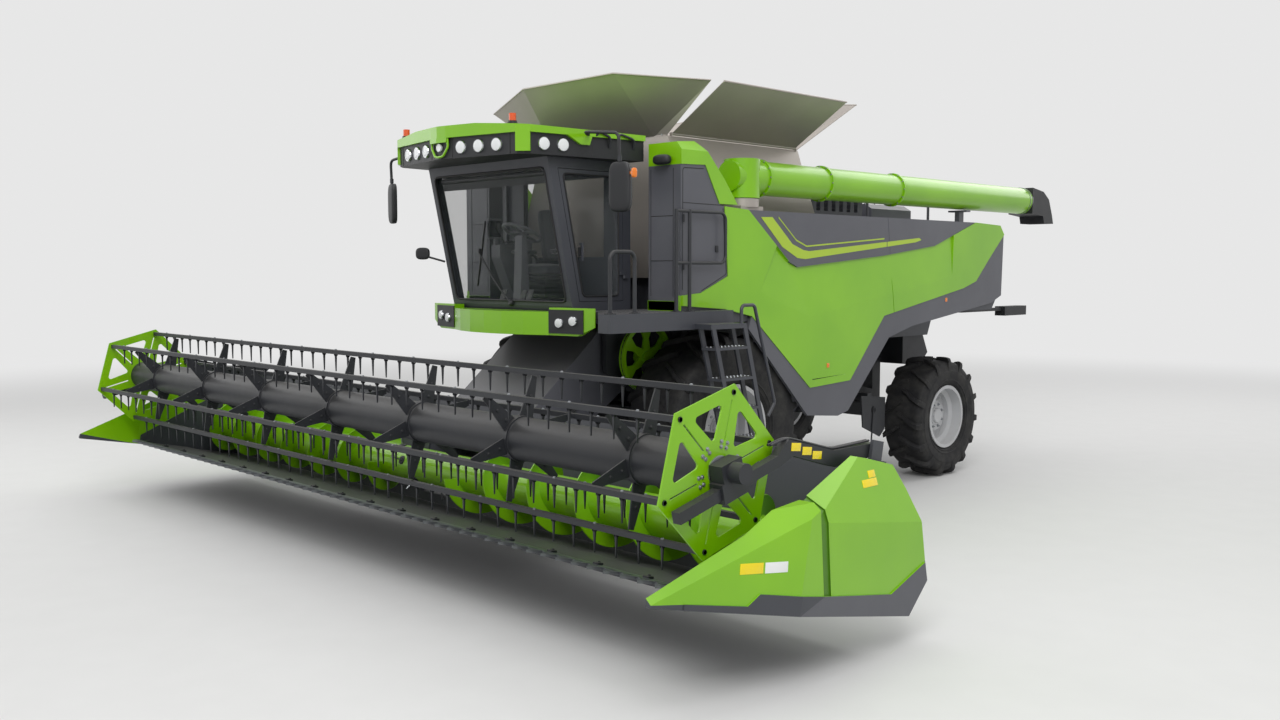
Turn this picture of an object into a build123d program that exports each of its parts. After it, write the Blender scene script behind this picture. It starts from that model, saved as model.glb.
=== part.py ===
"""Combine harvester with a nine-metre grain header, in millimetres.

+X is the machine's left, +Z is up, and it drives towards -Y. The origin is on the ground under
the middle of the whole machine. The header is drawn level, as if it lay on the ground, in the
"cutting" pose, and is then raised about the feeder pivot into the transport pose.
"""
from build123d import *
import math
import os

os.makedirs("parts", exist_ok=True)

# ---------------------------------------------------------------- wheels and axles
FRONT_AXLE_Y = -1115
REAR_AXLE_Y = 2825
FRONT_TYRE_R = 940
FRONT_TYRE_W = 690
FRONT_RIM_R = 420
FRONT_TRACK_X = 1190
REAR_TYRE_R = 715
REAR_TYRE_W = 520
REAR_RIM_R = 350
REAR_TRACK_X = 1205
LUG_HEIGHT = 45
FRONT_LUGS = 16
REAR_LUGS = 15
RIM_WALL = 12
RIM_LIP = 26
RIM_DROP = 50
RUN_FIT = 0.05
FRONT_SPINDLE_R = 70
REAR_SPINDLE_R = 50
AXLE_BEAM = 130
FINAL_DRIVE_R = 230
FINAL_DRIVE_X = 640
FINAL_DRIVE_END_X = 800
REAR_BEAM_X = 745
REAR_BEAM_HALF = 85
KINGPIN_X = 800
KINGPIN_R = 30
BOSS_R = 75
BOSS_HALF = 110
EAR = 30
EAR_GAP = 1
KNUCKLE_WEB = 40
KNUCKLE_WEB_X = 890

# ---------------------------------------------------------------- hull
BODY_HALF = 1560
PANEL = 40
PANEL_OUT = BODY_HALF + PANEL
TRIM_SINK = 8
SEAM = 10
DECK_TOP = 2110
DECK_SHEET = 60
BODY_BOTTOM = 1990
BODY_TOP = 2400
BODY_FRONT = -1400
CORE_FRONT = -1480
CORE_HALF = 760
CORE_BOTTOM = 1260
CORE_REAR_BOTTOM = 1650
RAIL_X = (540, 640)
REAR_LEG_X = (300, 420)
SHOE_HALF = 530
TANK_FRONT = -1505
TANK_REAR = 490
TANK_WALL = 20
TANK_LEDGE_X = BODY_HALF - 380
TANK_MOUTH_HALF = 940
TANK_MOUTH_Z = 3750
TOWER_IN = BODY_HALF - 370
TOWER_FRONT = -2015
PLATFORM_OUT = BODY_HALF + 130
LADDER_OUT = PLATFORM_OUT + 200
HITCH_Y = 3190
HITCH_Z = 980
HITCH_R = 20.5
HITCH_LENGTH = 40

# ---------------------------------------------------------------- cab
CAB_HALF = 900
CAB_WALL = 60
CAB_FLOOR = 2090
SILL_Z = 2150
CAB_TOP = 3460
CAB_REAR = -1965
CAB_FRONT_LOW = -2685
CAB_FRONT_HIGH = -2965
WINDOW_LOW = 2190
WINDOW_HIGH = 3370
SCREEN_HALF = CAB_HALF - 70
GLASS = 8
DOOR_GAP = 6
DOOR_FRAME = 50
DOOR_HINGE_X = CAB_HALF + 14
DOOR_HINGE_Y = -2060
DOOR_PIN_R = 8
FASCIA_TOP = 3640
ROOF_TOP = 3745
LAMP_R = 50
HEADLAMP_R = 36
LENS = 18
MIRROR_X = BODY_HALF + 150

# ---------------------------------------------------------------- header, in the cutting pose
PIVOT_Y = -1915
PIVOT_Z = 1620
HEADER_RAISE = 12
HEADER_HALF = 4400
SIDE_SHEET = 20
DIVIDER_OUT = HEADER_HALF + 160
BACK_Y = -3020
BACK_SHEET = 20
PAN_Z = 20
FEEDER_HALF = 600
FEEDER_WALL = 30
DRUM_R = 330
PIVOT_PIN_R = 60
AUGER_Y = -3350
AUGER_Z = 370
AUGER_R = 300
AUGER_TUBE_R = 160
AUGER_STUB_R = 30
AUGER_PITCH = 560
FINGER_R = 8
KNIFE_Y = -4220
GUARD_PITCH = 152.4
REEL_Y = -4360
REEL_Z = 790
REEL_BAR_R = 470
REEL_HALF = HEADER_HALF - 175
REEL_TUBE_R = 150
REEL_SHAFT_R = 30
REEL_PLATE = 12
REEL_PHASE = -3.3
REEL_BARS = 6
SPIDERS = 7
TINE = 150
TINE_PITCH = 200
BAR_HALF = 18
BAR_PIN_R = 15
ARM_X = (HEADER_HALF - 130, HEADER_HALF - 70)
ARM_PIVOT_Y = BACK_Y + 70
ARM_PIVOT_Z = 1070
ARM_PIN_R = 30

# ---------------------------------------------------------------- unloading auger and tank flaps
SPOUT_X = BODY_HALF - 130
SWING_Y = -1000
UNLOAD_Z = 3360
UNLOAD_R = 165
UNLOAD_END = 4535
SPIGOT_R = 110
FLAP = 6
FLAP_TOP_X = TANK_MOUTH_HALF + 660
FLAP_TOP_Z = 4190
FLAP_INSET = 50
FLAP_HINGE_R = 14
FLAP_PIN_R = 8
FLAP_HINGE_RISE = 20

# ---------------------------------------------------------------- header lift cylinders
LIFT_X = 420
LIFT_BASE = (-1370, 760)
LIFT_EYE = (-2440, 521)
LIFT_FORK = 60
LIFT_EYE_R = 55
LIFT_EYE_HALF = 30
LIFT_BORE_R = 30.5
LIFT_ROD_R = 30


def block(x, y, z):
    """Box between a low and a high value on each axis."""
    size = (x[1] - x[0], y[1] - y[0], z[1] - z[0])
    return Pos(sum(x) / 2, sum(y) / 2, sum(z) / 2) * Box(*size)


def side_prism(outline, x_low, x_high, rounding=0):
    """Solid with a (y, z) outline, between two x values, its corners rounded if asked."""
    face = Face(Wire.make_polygon([(x_low, y, z) for y, z in outline], close=True))
    if rounding:
        face = face.fillet_2d(rounding, face.vertices())
    return Solid.extrude(face, Vector(x_high - x_low, 0, 0))


def plan_prism(outline, z_low, z_high):
    """Solid with an (x, y) outline, between two heights."""
    face = Face(Wire.make_polygon([(x, y, z_low) for x, y in outline], close=True))
    return Solid.extrude(face, Vector(0, 0, z_high - z_low))


def cross_prism(outline, y_low, y_high):
    """Solid with an (x, z) outline, between two y values."""
    face = Face(Wire.make_polygon([(x, y_low, z) for x, z in outline], close=True))
    return Solid.extrude(face, Vector(0, y_high - y_low, 0))


def rod(start, end, radius):
    """Round bar between two points."""
    run = Vector(*end) - Vector(*start)
    return Solid.make_cylinder(radius, run.length, Plane(Vector(*start), z_dir=run))


def bent_tube(points, radius, bend):
    """Round tube along straight runs joined by bends of one radius."""
    path = FilletPolyline(*points, radius=bend)
    section = Plane(path @ 0, z_dir=path % 0) * Circle(radius)
    return sweep(section, path=path).solid()


def sheet(corners, thickness):
    """Flat sheet with the given corners, its thickness split between its two sides."""
    face = Face(Wire.make_polygon(corners, close=True))
    normal = face.normal_at()
    return Solid.extrude(face.translate(normal * (-thickness / 2)), normal * thickness)


def raised_sheet(corners, rise):
    """Flat sheet thickened straight up, so that folded neighbours meet in one crease."""
    return Solid.extrude(Face(Wire.make_polygon(corners, close=True)), Vector(0, 0, rise))


def beyond(a, b, c, reach=12000):
    """Everything on one side of the plane through three points, where its right-hand normal points."""
    along = Vector(*b) - Vector(*a)
    plane = Plane(origin=Vector(*a), x_dir=along, z_dir=along.cross(Vector(*c) - Vector(*a)))
    return plane * Pos(0, 0, reach / 2) * Box(2 * reach, 2 * reach, reach)


def joined(first, *others):
    """One solid from several that meet."""
    return first.fuse(*others) if others else first


def across(shape):
    """The same piece on the machine's other side."""
    return mirror(shape, about=Plane.YZ)


def both(shape):
    return [shape, across(shape)]


def with_mirror(points):
    """Outline of a symmetric plan or cross-section from the points of its left half, listed in order."""
    return points + [(-x, other) for x, other in reversed(points)]


def save(node, *shapes):
    solids = [solid for shape in shapes for solid in shape.solids()]
    export_step(solids[0] if len(solids) == 1 else Compound(solids), f"parts/{node}.step")


RAISED = Pos(0, PIVOT_Y, PIVOT_Z) * Rot(-HEADER_RAISE, 0, 0) * Pos(0, -PIVOT_Y, -PIVOT_Z)


# ================================================================ wheels
def tyre_lug(radius, width, side, turn):
    """One bar of the tread, from the tyre's middle out and down over its shoulder."""
    carcass = radius - LUG_HEIGHT
    stations = [  # share of the width, turn about the axle, top, bottom, half of its breadth
        (-0.02, 0.0, radius, carcass - 12, 22),
        (0.26, 8.0, radius, carcass - 12, 24),
        (0.49, 12.0, radius - 28, carcass - 75, 34),
    ]
    wires = []
    for share, lead, top, bottom, half in stations:
        corners = []
        for r, way in ((top, -1), (top, 1), (bottom, 1), (bottom, -1)):
            angle = math.radians(turn + lead) + way * half / radius
            corners.append((side * share * width, r * math.sin(angle), -r * math.cos(angle)))
        wires.append(Wire.make_polygon(corners, close=True))
    return Solid.make_loft(wires, ruled=True)


def tyre(radius, width, rim_r, lugs):
    carcass = radius - LUG_HEIGHT
    profile = [  # share of half the width, radius
        (0.80, rim_r), (0.80, rim_r + 34), (0.94, rim_r + 90), (1.0, (rim_r + carcass) / 2 + 40),
        (0.96, carcass - 60), (0.84, carcass - 8), (0.0, carcass),
    ]
    half = [(share * width / 2, 0, r) for share, r in profile]
    points = half + [(-x, 0, r) for x, _, r in reversed(half[:-1])]
    body = revolve(Face(Wire.make_polygon(points, close=True)), Axis.X)
    step = 360 / lugs
    bars = [tyre_lug(radius, width, side, n * step + (0 if side > 0 else step / 2))
            for n in range(lugs) for side in (1, -1)]
    return body.solid().fuse(*bars)


def turned(profile):
    """Solid turned about the X axis from an (x, radius) outline."""
    return revolve(Face(Wire.make_polygon([(x, 0, r) for x, r in profile], close=True)), Axis.X).solid()


def rim(width, rim_r, spindle_r):
    """Wheel drum with lips and a drop centre, a dished disc and the hub, about the axle's middle."""
    seat = 0.80 * width / 2
    inner, deep = rim_r - RIM_WALL, rim_r - RIM_DROP
    outside = [(seat + 14, rim_r + RIM_LIP), (seat, rim_r + RIM_LIP), (seat, rim_r), (0.45 * seat, rim_r),
               (0.32 * seat, deep)]
    inside = [(0.36 * seat, deep - RIM_WALL), (0.48 * seat, inner), (seat + 14, inner)]
    barrel = turned(outside + [(-x, r) for x, r in reversed(outside)] + [(-x, r) for x, r in reversed(inside)]
                    + inside)
    disc = turned([(60, spindle_r + 50), (60 + RIM_WALL, spindle_r + 50), (60 + RIM_WALL, 0.5 * rim_r),
                   (RIM_WALL, 0.72 * rim_r), (RIM_WALL, deep - 2), (0, deep - 2), (0, 0.72 * rim_r - 8),
                   (60, 0.5 * rim_r - 8)])
    bore_r, boss_r = spindle_r + RUN_FIT, spindle_r + 60
    hub = turned([(-70, bore_r), (-70, boss_r), (80, boss_r), (80, bore_r)])
    cap = turned([(80, 0), (80, spindle_r + 45), (110, spindle_r + 30), (110, 0)])
    return joined(barrel, disc, hub, cap)


def wheels():
    front = tyre(FRONT_TYRE_R, FRONT_TYRE_W, FRONT_RIM_R, FRONT_LUGS)
    rear = tyre(REAR_TYRE_R, REAR_TYRE_W, REAR_RIM_R, REAR_LUGS)
    front_rim = rim(FRONT_TYRE_W, FRONT_RIM_R, FRONT_SPINDLE_R)
    rear_rim = rim(REAR_TYRE_W, REAR_RIM_R, REAR_SPINDLE_R)
    places = [  # name, tyre, rim, x, y, z
        ("front", front, front_rim, FRONT_TRACK_X, FRONT_AXLE_Y, FRONT_TYRE_R),
        ("rear", rear, rear_rim, REAR_TRACK_X, REAR_AXLE_Y, REAR_TYRE_R),
    ]
    for name, rubber, drum, x, y, z in places:
        save(f"tyre_{name}_left", Pos(x, y, z) * rubber)
        save(f"tyre_{name}_right", across(Pos(x, y, z) * rubber))
        save(f"rim_{name}_left", Pos(x, y, z) * drum)
        save(f"rim_{name}_right", across(Pos(x, y, z) * drum))


def front_axle():
    y, z = FRONT_AXLE_Y, FRONT_TYRE_R
    front = y - AXLE_BEAM
    beam = block((-FINAL_DRIVE_X, FINAL_DRIVE_X), (front, y + AXLE_BEAM), (z - AXLE_BEAM, z + AXLE_BEAM))
    drive = rod((FINAL_DRIVE_X, y, z), (FINAL_DRIVE_END_X, y, z), FINAL_DRIVE_R)
    spindle = rod((FINAL_DRIVE_END_X, y, z), (FRONT_TRACK_X + 60, y, z), FRONT_SPINDLE_R)
    eye_y, eye_z = LIFT_BASE
    ear = side_prism([(front + 20, z - AXLE_BEAM), (front + 20, z), (eye_y - 50, eye_z + 50),
                      (eye_y - 50, eye_z - 50)], LIFT_X - LIFT_FORK, LIFT_X - LIFT_EYE_HALF - 5)
    other_ear = Pos(LIFT_FORK + LIFT_EYE_HALF + 5, 0, 0) * ear
    pin = rod((LIFT_X - LIFT_FORK, eye_y, eye_z), (LIFT_X + LIFT_FORK, eye_y, eye_z), LIFT_ROD_R)
    half = [drive, spindle, ear, other_ear, pin]
    save("front_axle", joined(beam, *half, *[across(piece) for piece in half]))


def rear_axle():
    x, y, z = KINGPIN_X, REAR_AXLE_Y, REAR_TYRE_R
    beam = block((-REAR_BEAM_X, REAR_BEAM_X), (y - 90, y + 90), (z - REAR_BEAM_HALF, z + REAR_BEAM_HALF))
    boss = rod((x, y, z - BOSS_HALF), (x, y, z + BOSS_HALF), BOSS_R)
    bore = rod((x, y, z - BOSS_HALF - 1), (x, y, z + BOSS_HALF + 1), KINGPIN_R + RUN_FIT)
    save("rear_axle", joined(beam, boss, across(boss)) - bore - across(bore))

    reach = BOSS_HALF + EAR_GAP
    ears = []
    for low, high in ((-reach - EAR, -reach), (reach, reach + EAR)):
        ears.append(rod((x, y, z + low), (x, y, z + high), BOSS_R))
        ears.append(block((x, KNUCKLE_WEB_X + KNUCKLE_WEB), (y - BOSS_R, y + BOSS_R), (z + low, z + high)))
    web = block((KNUCKLE_WEB_X, KNUCKLE_WEB_X + KNUCKLE_WEB), (y - BOSS_R, y + BOSS_R),
                (z - reach - EAR, z + reach + EAR))
    kingpin = rod((x, y, z - reach - EAR), (x, y, z + reach + EAR), KINGPIN_R)
    stub = rod((KNUCKLE_WEB_X, y, z), (REAR_TRACK_X + 60, y, z), REAR_SPINDLE_R)
    arm = plan_prism([(x - 60, y + 30), (x + 60, y + 30), (x - 60, y + 260), (x - 110, y + 240)],
                     z - reach - EAR, z - reach)
    knuckle = joined(kingpin, *ears, web, stub, arm)
    save("knuckle_left", knuckle)
    save("knuckle_right", across(knuckle))


# ================================================================ hull, all outlines as (y, z)
CORE = [(CORE_FRONT, CORE_BOTTOM), (1500, CORE_BOTTOM), (1900, CORE_REAR_BOTTOM), (3450, CORE_REAR_BOTTOM),
        (3600, BODY_BOTTOM), (CORE_FRONT, BODY_BOTTOM)]
SHOE = [(-800, CORE_BOTTOM), (-700, 820), (900, 760), (1300, 1100), (1400, CORE_BOTTOM)]
UPPER = [(BODY_FRONT, BODY_BOTTOM), (3600, BODY_BOTTOM), (3735, 2160), (3735, BODY_TOP),
         (BODY_FRONT, BODY_TOP)]
SWOOSH = [(-1095, 3040), (-475, 2560), (-330, 2505), (1175, 2630), (2205, 2750), (3115, 3040)]
REAR_TOP = [(3705, 3020), (3805, 2910)]
LOWER = [(3435, 2600), (3145, 2340), (2855, 2260), (1195, 1980), (575, 1320), (-115, 1290), (-1035, 2040)]
LOWER_BEVEL = [(1266, 1954), (528, 1393), (-78, 1375), (-948, 2060)]
TOWER_EDGE = [(TOWER_FRONT, 2160), (TOWER_FRONT, 2250), (-1755, 2270), (-1385, 2420), (-1435, 3060)]
SKIRT = [(3775, 2160), (3525, 2070), (1765, 1850), (1305, 1740), (555, 1000), (375, 960), (-145, 1010),
         (-1075, 1920)]
CREASE = [(-921, 2267), (-132, 2006), (2584, 2405)]
CREASE_DEPTH = 24


def side_panels():
    """Green side: a flat skin with one facet leaning in above a crease, and a bevel along its lower edge."""
    outline = SWOOSH + REAR_TOP + LOWER + [(-1410, 2115)] + TOWER_EDGE
    panel = side_prism(outline, BODY_HALF, PANEL_OUT)
    front, knee, rear = [(PANEL_OUT, y, z) for y, z in CREASE]
    sunk = (PANEL_OUT - CREASE_DEPTH, *SWOOSH[3])
    corner = (PANEL_OUT - CREASE_DEPTH, *SWOOSH[1])
    skin = (BODY_HALF, PANEL_OUT)
    main_facet = side_prism([CREASE[1], CREASE[2], (2612, 2880), *reversed(SWOOSH[1:5])], *skin)
    front_facet = side_prism([CREASE[0], CREASE[1], SWOOSH[1], (-669, 2710)], *skin)
    panel = panel - (main_facet & beyond(knee, rear, sunk)) - (front_facet & beyond(front, knee, corner))
    edge = LOWER[3:]
    for (a, b), (c, d) in zip(zip(edge, edge[1:]), zip(LOWER_BEVEL, LOWER_BEVEL[1:])):
        strip = side_prism([a, b, d, c], *skin)
        low, high = (PANEL_OUT - CREASE_DEPTH, *a), (PANEL_OUT - CREASE_DEPTH, *b)
        panel = panel - (strip & beyond(low, high, (PANEL_OUT, *c)))
    seam = side_prism([(1226, 3130), (1226 + SEAM, 3130), (1388 + SEAM, 1950), (1388, 1950)],
                      PANEL_OUT - SEAM, PANEL_OUT)
    foot = block((TOWER_IN, PANEL_OUT), (TOWER_FRONT - 10, TOWER_FRONT), (DECK_TOP, 2200))
    save("side_panels", *both(joined(panel - seam, foot)))

    out = PANEL_OUT - TRIM_SINK
    wedge = side_prism(SWOOSH, BODY_HALF, out) - seam
    skirt = side_prism([REAR_TOP[1]] + SKIRT + list(reversed(LOWER)), BODY_HALF, out)
    save("side_trims", *both(wedge), *both(skirt))


def separator():
    core = side_prism(CORE, -CORE_HALF, CORE_HALF)
    shoe = side_prism(SHOE, -SHOE_HALF, SHOE_HALF)
    upper = side_prism(UPPER, -BODY_HALF, BODY_HALF)
    save("separator_body", joined(core, shoe, upper))
    hood = [SWOOSH[-1], *REAR_TOP, SKIRT[0], (3735, 2160), (3765, 2895), (3690, 2980), (SWOOSH[-1][0], 3000)]
    shell = side_prism(hood, -BODY_HALF, BODY_HALF)
    for rise in range(5):
        shell = shell - block((-620, 620), (3700, 3850), (2300 + 100 * rise, 2340 + 100 * rise))
    backing = block((-700, 700), (3736, 3745), (2250, 2790))
    save("rear_hood", joined(shell, backing))


def chassis():
    """Rails over the front axle, a rear leg on each side with the hitch between them, and the cab's deck."""
    rail = block(RAIL_X, (CORE_FRONT, 1480), (FRONT_TYRE_R + AXLE_BEAM, CORE_BOTTOM))
    leg_top = side_prism([(1405, CORE_BOTTOM), (1500, CORE_BOTTOM), (2740, 980), (2740, 850)], *REAR_LEG_X)
    leg = block(REAR_LEG_X, (2740, 2910), (REAR_TYRE_R + REAR_BEAM_HALF, CORE_REAR_BOTTOM))
    half = max(REAR_LEG_X[0], 60)
    cross = block((-half, half), (2780, 2870), (REAR_TYRE_R + REAR_BEAM_HALF, 1100))
    hitch = plan_prism([(-90, 2870), (90, 2870), (60, 3250), (-60, 3250)], HITCH_Z, HITCH_Z + HITCH_LENGTH)
    hitch = hitch - rod((0, HITCH_Y, HITCH_Z - 10), (0, HITCH_Y, HITCH_Z + HITCH_LENGTH + 10), HITCH_R)
    rear = joined(leg_top, leg, across(leg_top), across(leg), cross, hitch)

    cheek = side_prism([(-2080, BODY_BOTTOM), (-2080, 1500), (-1750, 1400), (CORE_FRONT, 1400),
                        (CORE_FRONT, BODY_BOTTOM)], 640, 690)
    pin = rod((FEEDER_HALF - 80, PIVOT_Y, PIVOT_Z), (660, PIVOT_Y, PIVOT_Z), PIVOT_PIN_R)
    deck = block((-CAB_HALF, CAB_HALF), (-2690, BODY_FRONT), (BODY_BOTTOM, CAB_FLOOR))
    deck = joined(deck, cheek, pin, across(cheek), across(pin))
    deck = deck - block((-CORE_HALF, CORE_HALF), (CORE_FRONT, 0), (0, BODY_BOTTOM))

    post = block((CORE_HALF, CORE_HALF + 60), (1480, 1620), (1300, 1700))
    bracket = side_prism([(1360, 1060), (1842, 1010), (1835, 640), (1740, 560), (1400, 700)], 1190, 1205)
    bracket = bracket - rod((1180, 1603, 879), (1210, 1603, 879), 45)
    arm = block((CORE_HALF, 1205), (1480, 1560), (1020, 1080))
    hanger = block((CORE_HALF, CORE_HALF + 60), (1480, 1560), (1020, 1400))
    catch = bent_tube([(1212, 1603, 925), (1212, 1553, 480), (1212, 1400, 455), (1212, 760, 545)], 9, 40)
    save("chassis_frame", *both(rail), rear, deck, joined(post, bracket, arm, hanger, catch))


def grain_tank():
    outer = [(BODY_HALF, BODY_TOP), (BODY_HALF, 3030), (TANK_LEDGE_X, 3060), (TANK_MOUTH_HALF, TANK_MOUTH_Z)]
    inner = [(300, BODY_TOP + 30), (BODY_HALF - TANK_WALL, 2720), (BODY_HALF - TANK_WALL, 3012),
             (TANK_LEDGE_X - 17, 3040), (TANK_MOUTH_HALF - TANK_WALL, TANK_MOUTH_Z + 1)]
    shell = cross_prism(with_mirror(outer), TANK_FRONT, TANK_REAR)
    hollow = cross_prism(with_mirror(inner), TANK_FRONT + TANK_WALL, TANK_REAR - TANK_WALL)
    nest = block((BODY_HALF - 300, BODY_HALF), (SWING_Y - UNLOAD_R, SWING_Y + UNLOAD_R), (3000, 3080))
    neck = rod((SPOUT_X, SWING_Y, 3070), (SPOUT_X, SWING_Y, 3150), UNLOAD_R)
    spigot = rod((SPOUT_X, SWING_Y, 3150), (SPOUT_X, SWING_Y, 3210), SPIGOT_R)
    lugs = []
    hinge_z = TANK_MOUTH_Z + FLAP_HINGE_RISE
    for y, way in ((TANK_FRONT + FLAP_INSET, -1), (TANK_REAR - FLAP_INSET, 1)):
        gap, far = sorted((y + way * 2, y + way * 14)), sorted((y - way * 40, y + way * 14))
        for side in (1, -1):
            x = side * TANK_MOUTH_HALF
            lugs.append(block((x - 14, x + 14), gap, (TANK_MOUTH_Z - 10, hinge_z + 12)))
            lugs.append(rod((x, far[0], hinge_z), (x, far[1], hinge_z), FLAP_PIN_R))
    save("grain_tank", joined(shell - hollow, nest - hollow, neck, spigot, *lugs))


def tank_extension():
    """Creased front and rear walls that lean out from the mouth, and a hinged flap on each side."""
    walls = []
    for y_foot, way in ((TANK_FRONT, -1), (TANK_REAR, 1)):
        y_top = y_foot + way * 460
        pieces = []
        for side in (1, -1):
            foot = (side * 750, y_foot, TANK_MOUTH_Z)
            crown = (side * 670, y_top, 4310)
            wing = (side * (FLAP_TOP_X - 2), y_top - way * 335, 4175)
            heel = (side * (TANK_MOUTH_HALF - 22), y_foot, TANK_MOUTH_Z)
            pieces.append(raised_sheet([foot, crown, wing], FLAP + 2))
            pieces.append(raised_sheet([foot, wing, heel], FLAP + 2))
        pieces.append(raised_sheet([(750, y_foot, TANK_MOUTH_Z), (670, y_top, 4310), (-670, y_top, 4310),
                                    (-750, y_foot, TANK_MOUTH_Z)], FLAP + 2))
        rail = sorted((y_foot - way * TANK_WALL, y_foot + way * 4))
        pieces.append(block((22 - TANK_MOUTH_HALF, TANK_MOUTH_HALF - 22), rail,
                            (TANK_MOUTH_Z, TANK_MOUTH_Z + 2 * FLAP)))
        walls.append(joined(*pieces))
    save("tank_end_walls", *walls)

    hinge_x, hinge_z = TANK_MOUTH_HALF, TANK_MOUTH_Z + FLAP_HINGE_RISE
    front, rear = TANK_FRONT + FLAP_INSET, TANK_REAR - FLAP_INSET
    leaf = sheet([(hinge_x + 9, front, hinge_z + 6), (FLAP_TOP_X, front, FLAP_TOP_Z),
                  (FLAP_TOP_X, rear, FLAP_TOP_Z), (hinge_x + 9, rear, hinge_z + 6)], FLAP)
    hem = rod((FLAP_TOP_X, front, FLAP_TOP_Z), (FLAP_TOP_X, rear, FLAP_TOP_Z), 9)
    barrel = rod((hinge_x, front, hinge_z), (hinge_x, rear, hinge_z), FLAP_HINGE_R)
    bore = rod((hinge_x, front - 1, hinge_z), (hinge_x, rear + 1, hinge_z), FLAP_PIN_R + RUN_FIT)
    flap = joined(leaf, barrel, hem) - bore
    save("tank_flap_left", flap)
    save("tank_flap_right", across(flap))


def towers():
    top = [(-1435, 3060), (-1505, 3080), (-1700, 3420), (TOWER_FRONT, 3410)]
    foot = [(TOWER_FRONT, DECK_TOP), (BODY_FRONT, DECK_TOP), (BODY_FRONT, BODY_TOP), (TANK_FRONT, BODY_TOP)]
    core = side_prism(foot + top[1:], TOWER_IN, BODY_HALF)
    out = PANEL_OUT - TRIM_SINK
    skin = side_prism([(TOWER_FRONT, 2250), (-1755, 2270), (-1385, 2420)] + top, BODY_HALF, out)
    save("tank_towers", *both(joined(core, skin)))
    cap = side_prism([(TOWER_FRONT, 3410), (-1700, 3420), (-1505, 3080), (-1255, 3080), (-1435, 3300),
                      (-1700, 3570), (-1775, 3630), (TOWER_FRONT, 3610)], TOWER_IN, PANEL_OUT)
    edge_front, edge_rear = (PANEL_OUT, TOWER_FRONT, 3540), (PANEL_OUT, -1775, 3540)
    cap = cap - beyond((PANEL_OUT - 70, -1775, 3630), edge_front, edge_rear)
    save("tower_caps", *both(cap))


def rear_machinery():
    save("engine", block((-520, 520), (1000, 2300), (BODY_TOP, 2960)))
    deck = block((-BODY_HALF, BODY_HALF), (TANK_REAR, SWOOSH[-1][0]), (3000, 3040))
    hood = cross_prism(with_mirror([(1040, 3040), (1040, 3420), (900, 3560)]), 620, 1560)
    for n in range(6):
        slot = 700 + 140 * n
        hood = hood - block((960, 1100), (slot, slot + 70), (3120, 3380)) - \
            block((-1100, -960), (slot, slot + 70), (3120, 3380))
    exhaust = rod((-700, 1900, 3040), (-700, 1900, 3520), 75)
    cover = cross_prism(with_mirror([(800, 3040), (800, 3200), (700, 3260)]), 2100, 2950)
    guard = [(1010, 1700, 3040), (1010, 1700, 3330), (1010, 3000, 3330), (1010, 3000, 3040)]
    cradle = joined(block((SPOUT_X - 30, SPOUT_X + 30), (2960, 3060), (3040, 3165)),
                    block((SPOUT_X - 120, SPOUT_X + 120), (2960, 3060), (3165, 3185)))
    save("engine_deck", joined(deck, hood, exhaust, cover, cradle, bent_tube(guard, 16, 60)))

    chopper = side_prism([(2980, 1300), (3380, 1260), (3560, 1420), (3440, CORE_REAR_BOTTOM),
                          (2980, CORE_REAR_BOTTOM)], -700, 700)
    save("straw_chopper", chopper)

    y, z = -1665, 1640
    hub = rod((690, y, z), (838, y, z), 62)
    band = rod((775, y, z), (830, y, z), 330) - rod((774, y, z), (831, y, z), 288)
    spoke = side_prism([(-55, 40), (-28, 180), (-80, 300), (80, 300), (28, 180), (55, 40)], 790, 815)
    spokes = [Pos(0, y, z) * Rot(360 / 6 * n, 0, 0) * spoke for n in range(6)]
    save("drive_pulley", joined(hub, band, *spokes))


# ================================================================ cab
DOOR = [(-2600, WINDOW_LOW), (-2850, WINDOW_HIGH), (DOOR_HINGE_Y, WINDOW_HIGH), (DOOR_HINGE_Y, WINDOW_LOW)]
DOOR_LIGHT = [(-2558, 2240), (-2790, 3325), (-2120, 3325), (-2120, 2240)]
ROOF = [(0, -3485), (110, -3470), (900, -3315), (1000, -3236), (1060, -2800), (1150, TOWER_FRONT)]
FASCIA = [(0, -3450), (110, -3440), (895, -3290), (975, -3211), (1035, -2775), (1125, TOWER_FRONT)]
POD = [(724, -2815), (1108, -2744)]
BEACON, BEACON_R = (810, -3270, 3700), 40


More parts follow.
